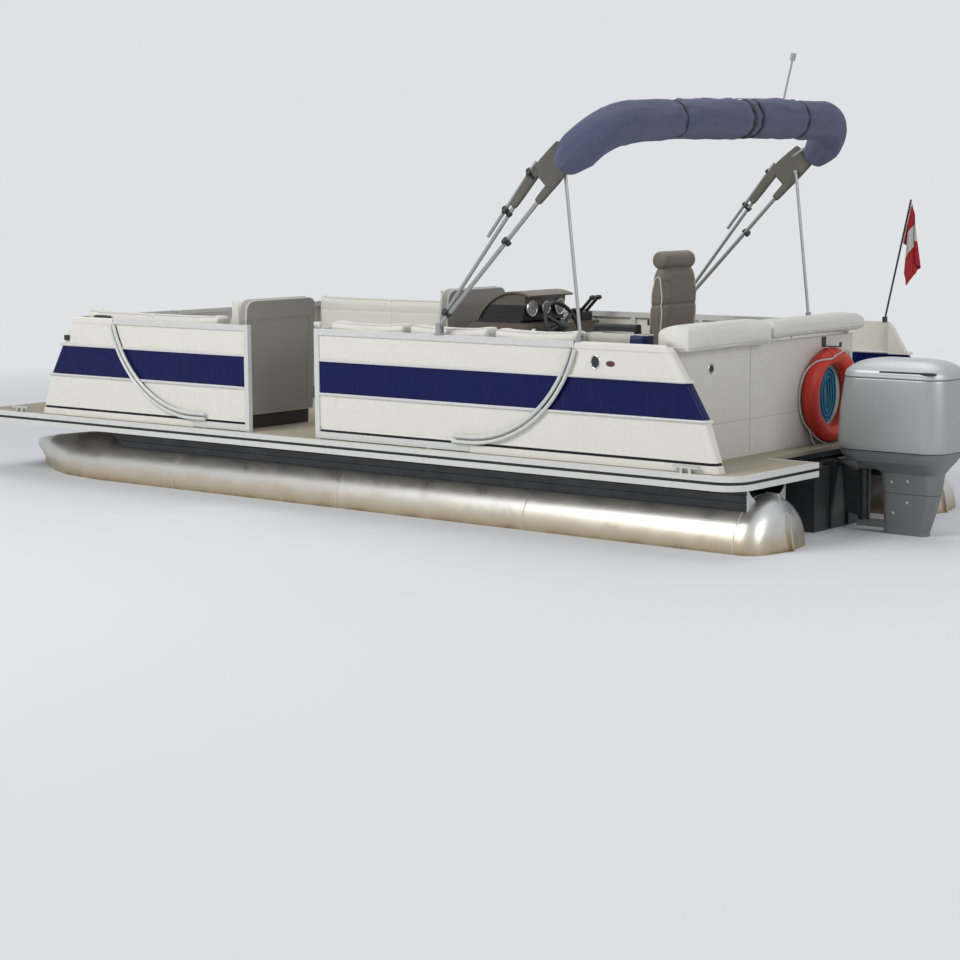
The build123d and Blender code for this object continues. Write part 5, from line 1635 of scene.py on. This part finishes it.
    def bands(self, red):
        """The four bands that hold the grab line to the buoy."""
        parts = []
        for hold in self.HOLDS:
            rows = [
                [self.at(hold, 0.0512 + lift, bend, shift) for bend in turns(32)]
                for shift, lift in ((-0.024, 0.0005), (-0.022, 0.0022), (0.022, 0.0022), (0.024, 0.0005))
            ]
            parts.append(ring_skin("hold", rows, caps=False))
        link(joined("lifebuoy_bands", parts), red, "hull")


class HangFlag(bpy.types.Operator):
    """A limp flag of plain bars on the staff."""

    bl_idname = "pontoon.flag"
    bl_label = "Flag"

    ROWS, COLUMNS = 26, 38
    TALL, WIDE = 0.25, 0.37
    BARS = ((0.0, 0.045), (0.33, 0.62))
    FRAMES = 70

    def execute(self, context):
        red, white = (
            finish(f"flag_{name}", color, (0.7, 0.85), relief="weave", relief_scale=1200.0, drift=drift,
                   sheen=0.2, specular=0.2)
            for name, color, drift in (
                ("red", (0.50, 0.012, 0.022), 0.10), ("white", (0.70, 0.68, 0.66), 0.08),
            )
        )
        flag = self.sheet()
        context.scene.collection.objects.link(flag)
        hoist = flag.vertex_groups.new(name="hoist")
        hoist.add([i * (self.COLUMNS + 1) for i in range(self.ROWS + 1)], 1.0, "REPLACE")
        self.drop(flag)
        subdivided(flag)
        link(flag, red, "hull", replaced=("flag",))
        flag.data.materials.append(white)
        for number, face in enumerate(flag.data.polygons):
            share = ((number // 4) % self.COLUMNS) / self.COLUMNS
            face.material_index = int(any(a <= share < b for a, b in self.BARS))
        return {"FINISHED"}

    def sheet(self):
        """The flag before it drops, already in folds."""
        foot, head = Vector((-2.595, -1.215, 1.13)), Vector((-2.76, -1.215, 1.85))
        down = (foot - head).normalized()
        top = head + down * 0.018
        bm = bmesh.new()
        grid = []
        for i in range(self.ROWS + 1):
            line = []
            for k in range(self.COLUMNS + 1):
                along = self.WIDE * k / self.COLUMNS
                wave = 0.030 * math.sin(along * 26 + i * 0.12) * along / self.WIDE
                bend = Vector((-along * 0.9, wave, -along * 0.42))
                place = top + Vector((-0.0085, 0, 0)) + down * self.TALL * i / self.ROWS + bend
                line.append(bm.verts.new(place))
            grid.append(line)
        for first, second in zip(grid, grid[1:]):
            for k in range(self.COLUMNS):
                bm.faces.new((first[k], second[k], second[k + 1], first[k + 1]))
        return from_bmesh("limp_flag", bm)

    def drop(self, flag):
        """Lets the flag hang from its hoist."""
        cloth = flag.modifiers.new("Hang", "CLOTH")
        settings = cloth.settings
        settings.quality = 6
        settings.mass = 0.12
        settings.tension_stiffness = 25
        settings.compression_stiffness = 25
        settings.shear_stiffness = 12
        settings.bending_stiffness = 0.02
        settings.air_damping = 2.5
        settings.vertex_group_mass = "hoist"
        cloth.collision_settings.use_self_collision = True
        cloth.collision_settings.self_distance_min = 0.003
        cloth.point_cache.frame_start, cloth.point_cache.frame_end = 1, self.FRAMES
        play(self.FRAMES)
        apply_modifiers(flag)
        bpy.context.scene.frame_set(1)


class PontoonPanel(bpy.types.Panel):
    """Lists the steps and the settings."""

    bl_idname = "PONTOON_PT_steps"
    bl_label = "Pontoon Boat"
    bl_space_type = "VIEW_3D"
    bl_region_type = "UI"
    bl_category = "Pontoon Boat"

    def draw(self, context):
        layout = self.layout
        for step in STEPS:
            layout.operator(step.bl_idname)
        for key in ("pontoon_hull", "pontoon_soft", "pontoon_studio"):
            box = layout.box()
            group = getattr(context.scene, key)
            for name in group.__annotations__:
                box.prop(group, name)


STEPS = (MakeStudio, HangRopes, DressHull, DressInterior, DressMotor, PadLounges, RollTop, HangFlag)
CLASSES = (HullSettings, SoftSettings, StudioSettings, *STEPS, PontoonPanel)


def register():
    for cls in CLASSES:
        bpy.utils.register_class(cls)
    bpy.types.Scene.pontoon_hull = PointerProperty(type=HullSettings)
    bpy.types.Scene.pontoon_soft = PointerProperty(type=SoftSettings)
    bpy.types.Scene.pontoon_studio = PointerProperty(type=StudioSettings)


def unregister():
    del bpy.types.Scene.pontoon_studio
    del bpy.types.Scene.pontoon_soft
    del bpy.types.Scene.pontoon_hull
    for cls in reversed(CLASSES):
        bpy.utils.unregister_class(cls)


def main():
    """Runs every step in order."""
    register()
    for step in STEPS:
        area, name = step.bl_idname.split(".")
        getattr(getattr(bpy.ops, area), name)()


if __name__ == "__main__":
    main()
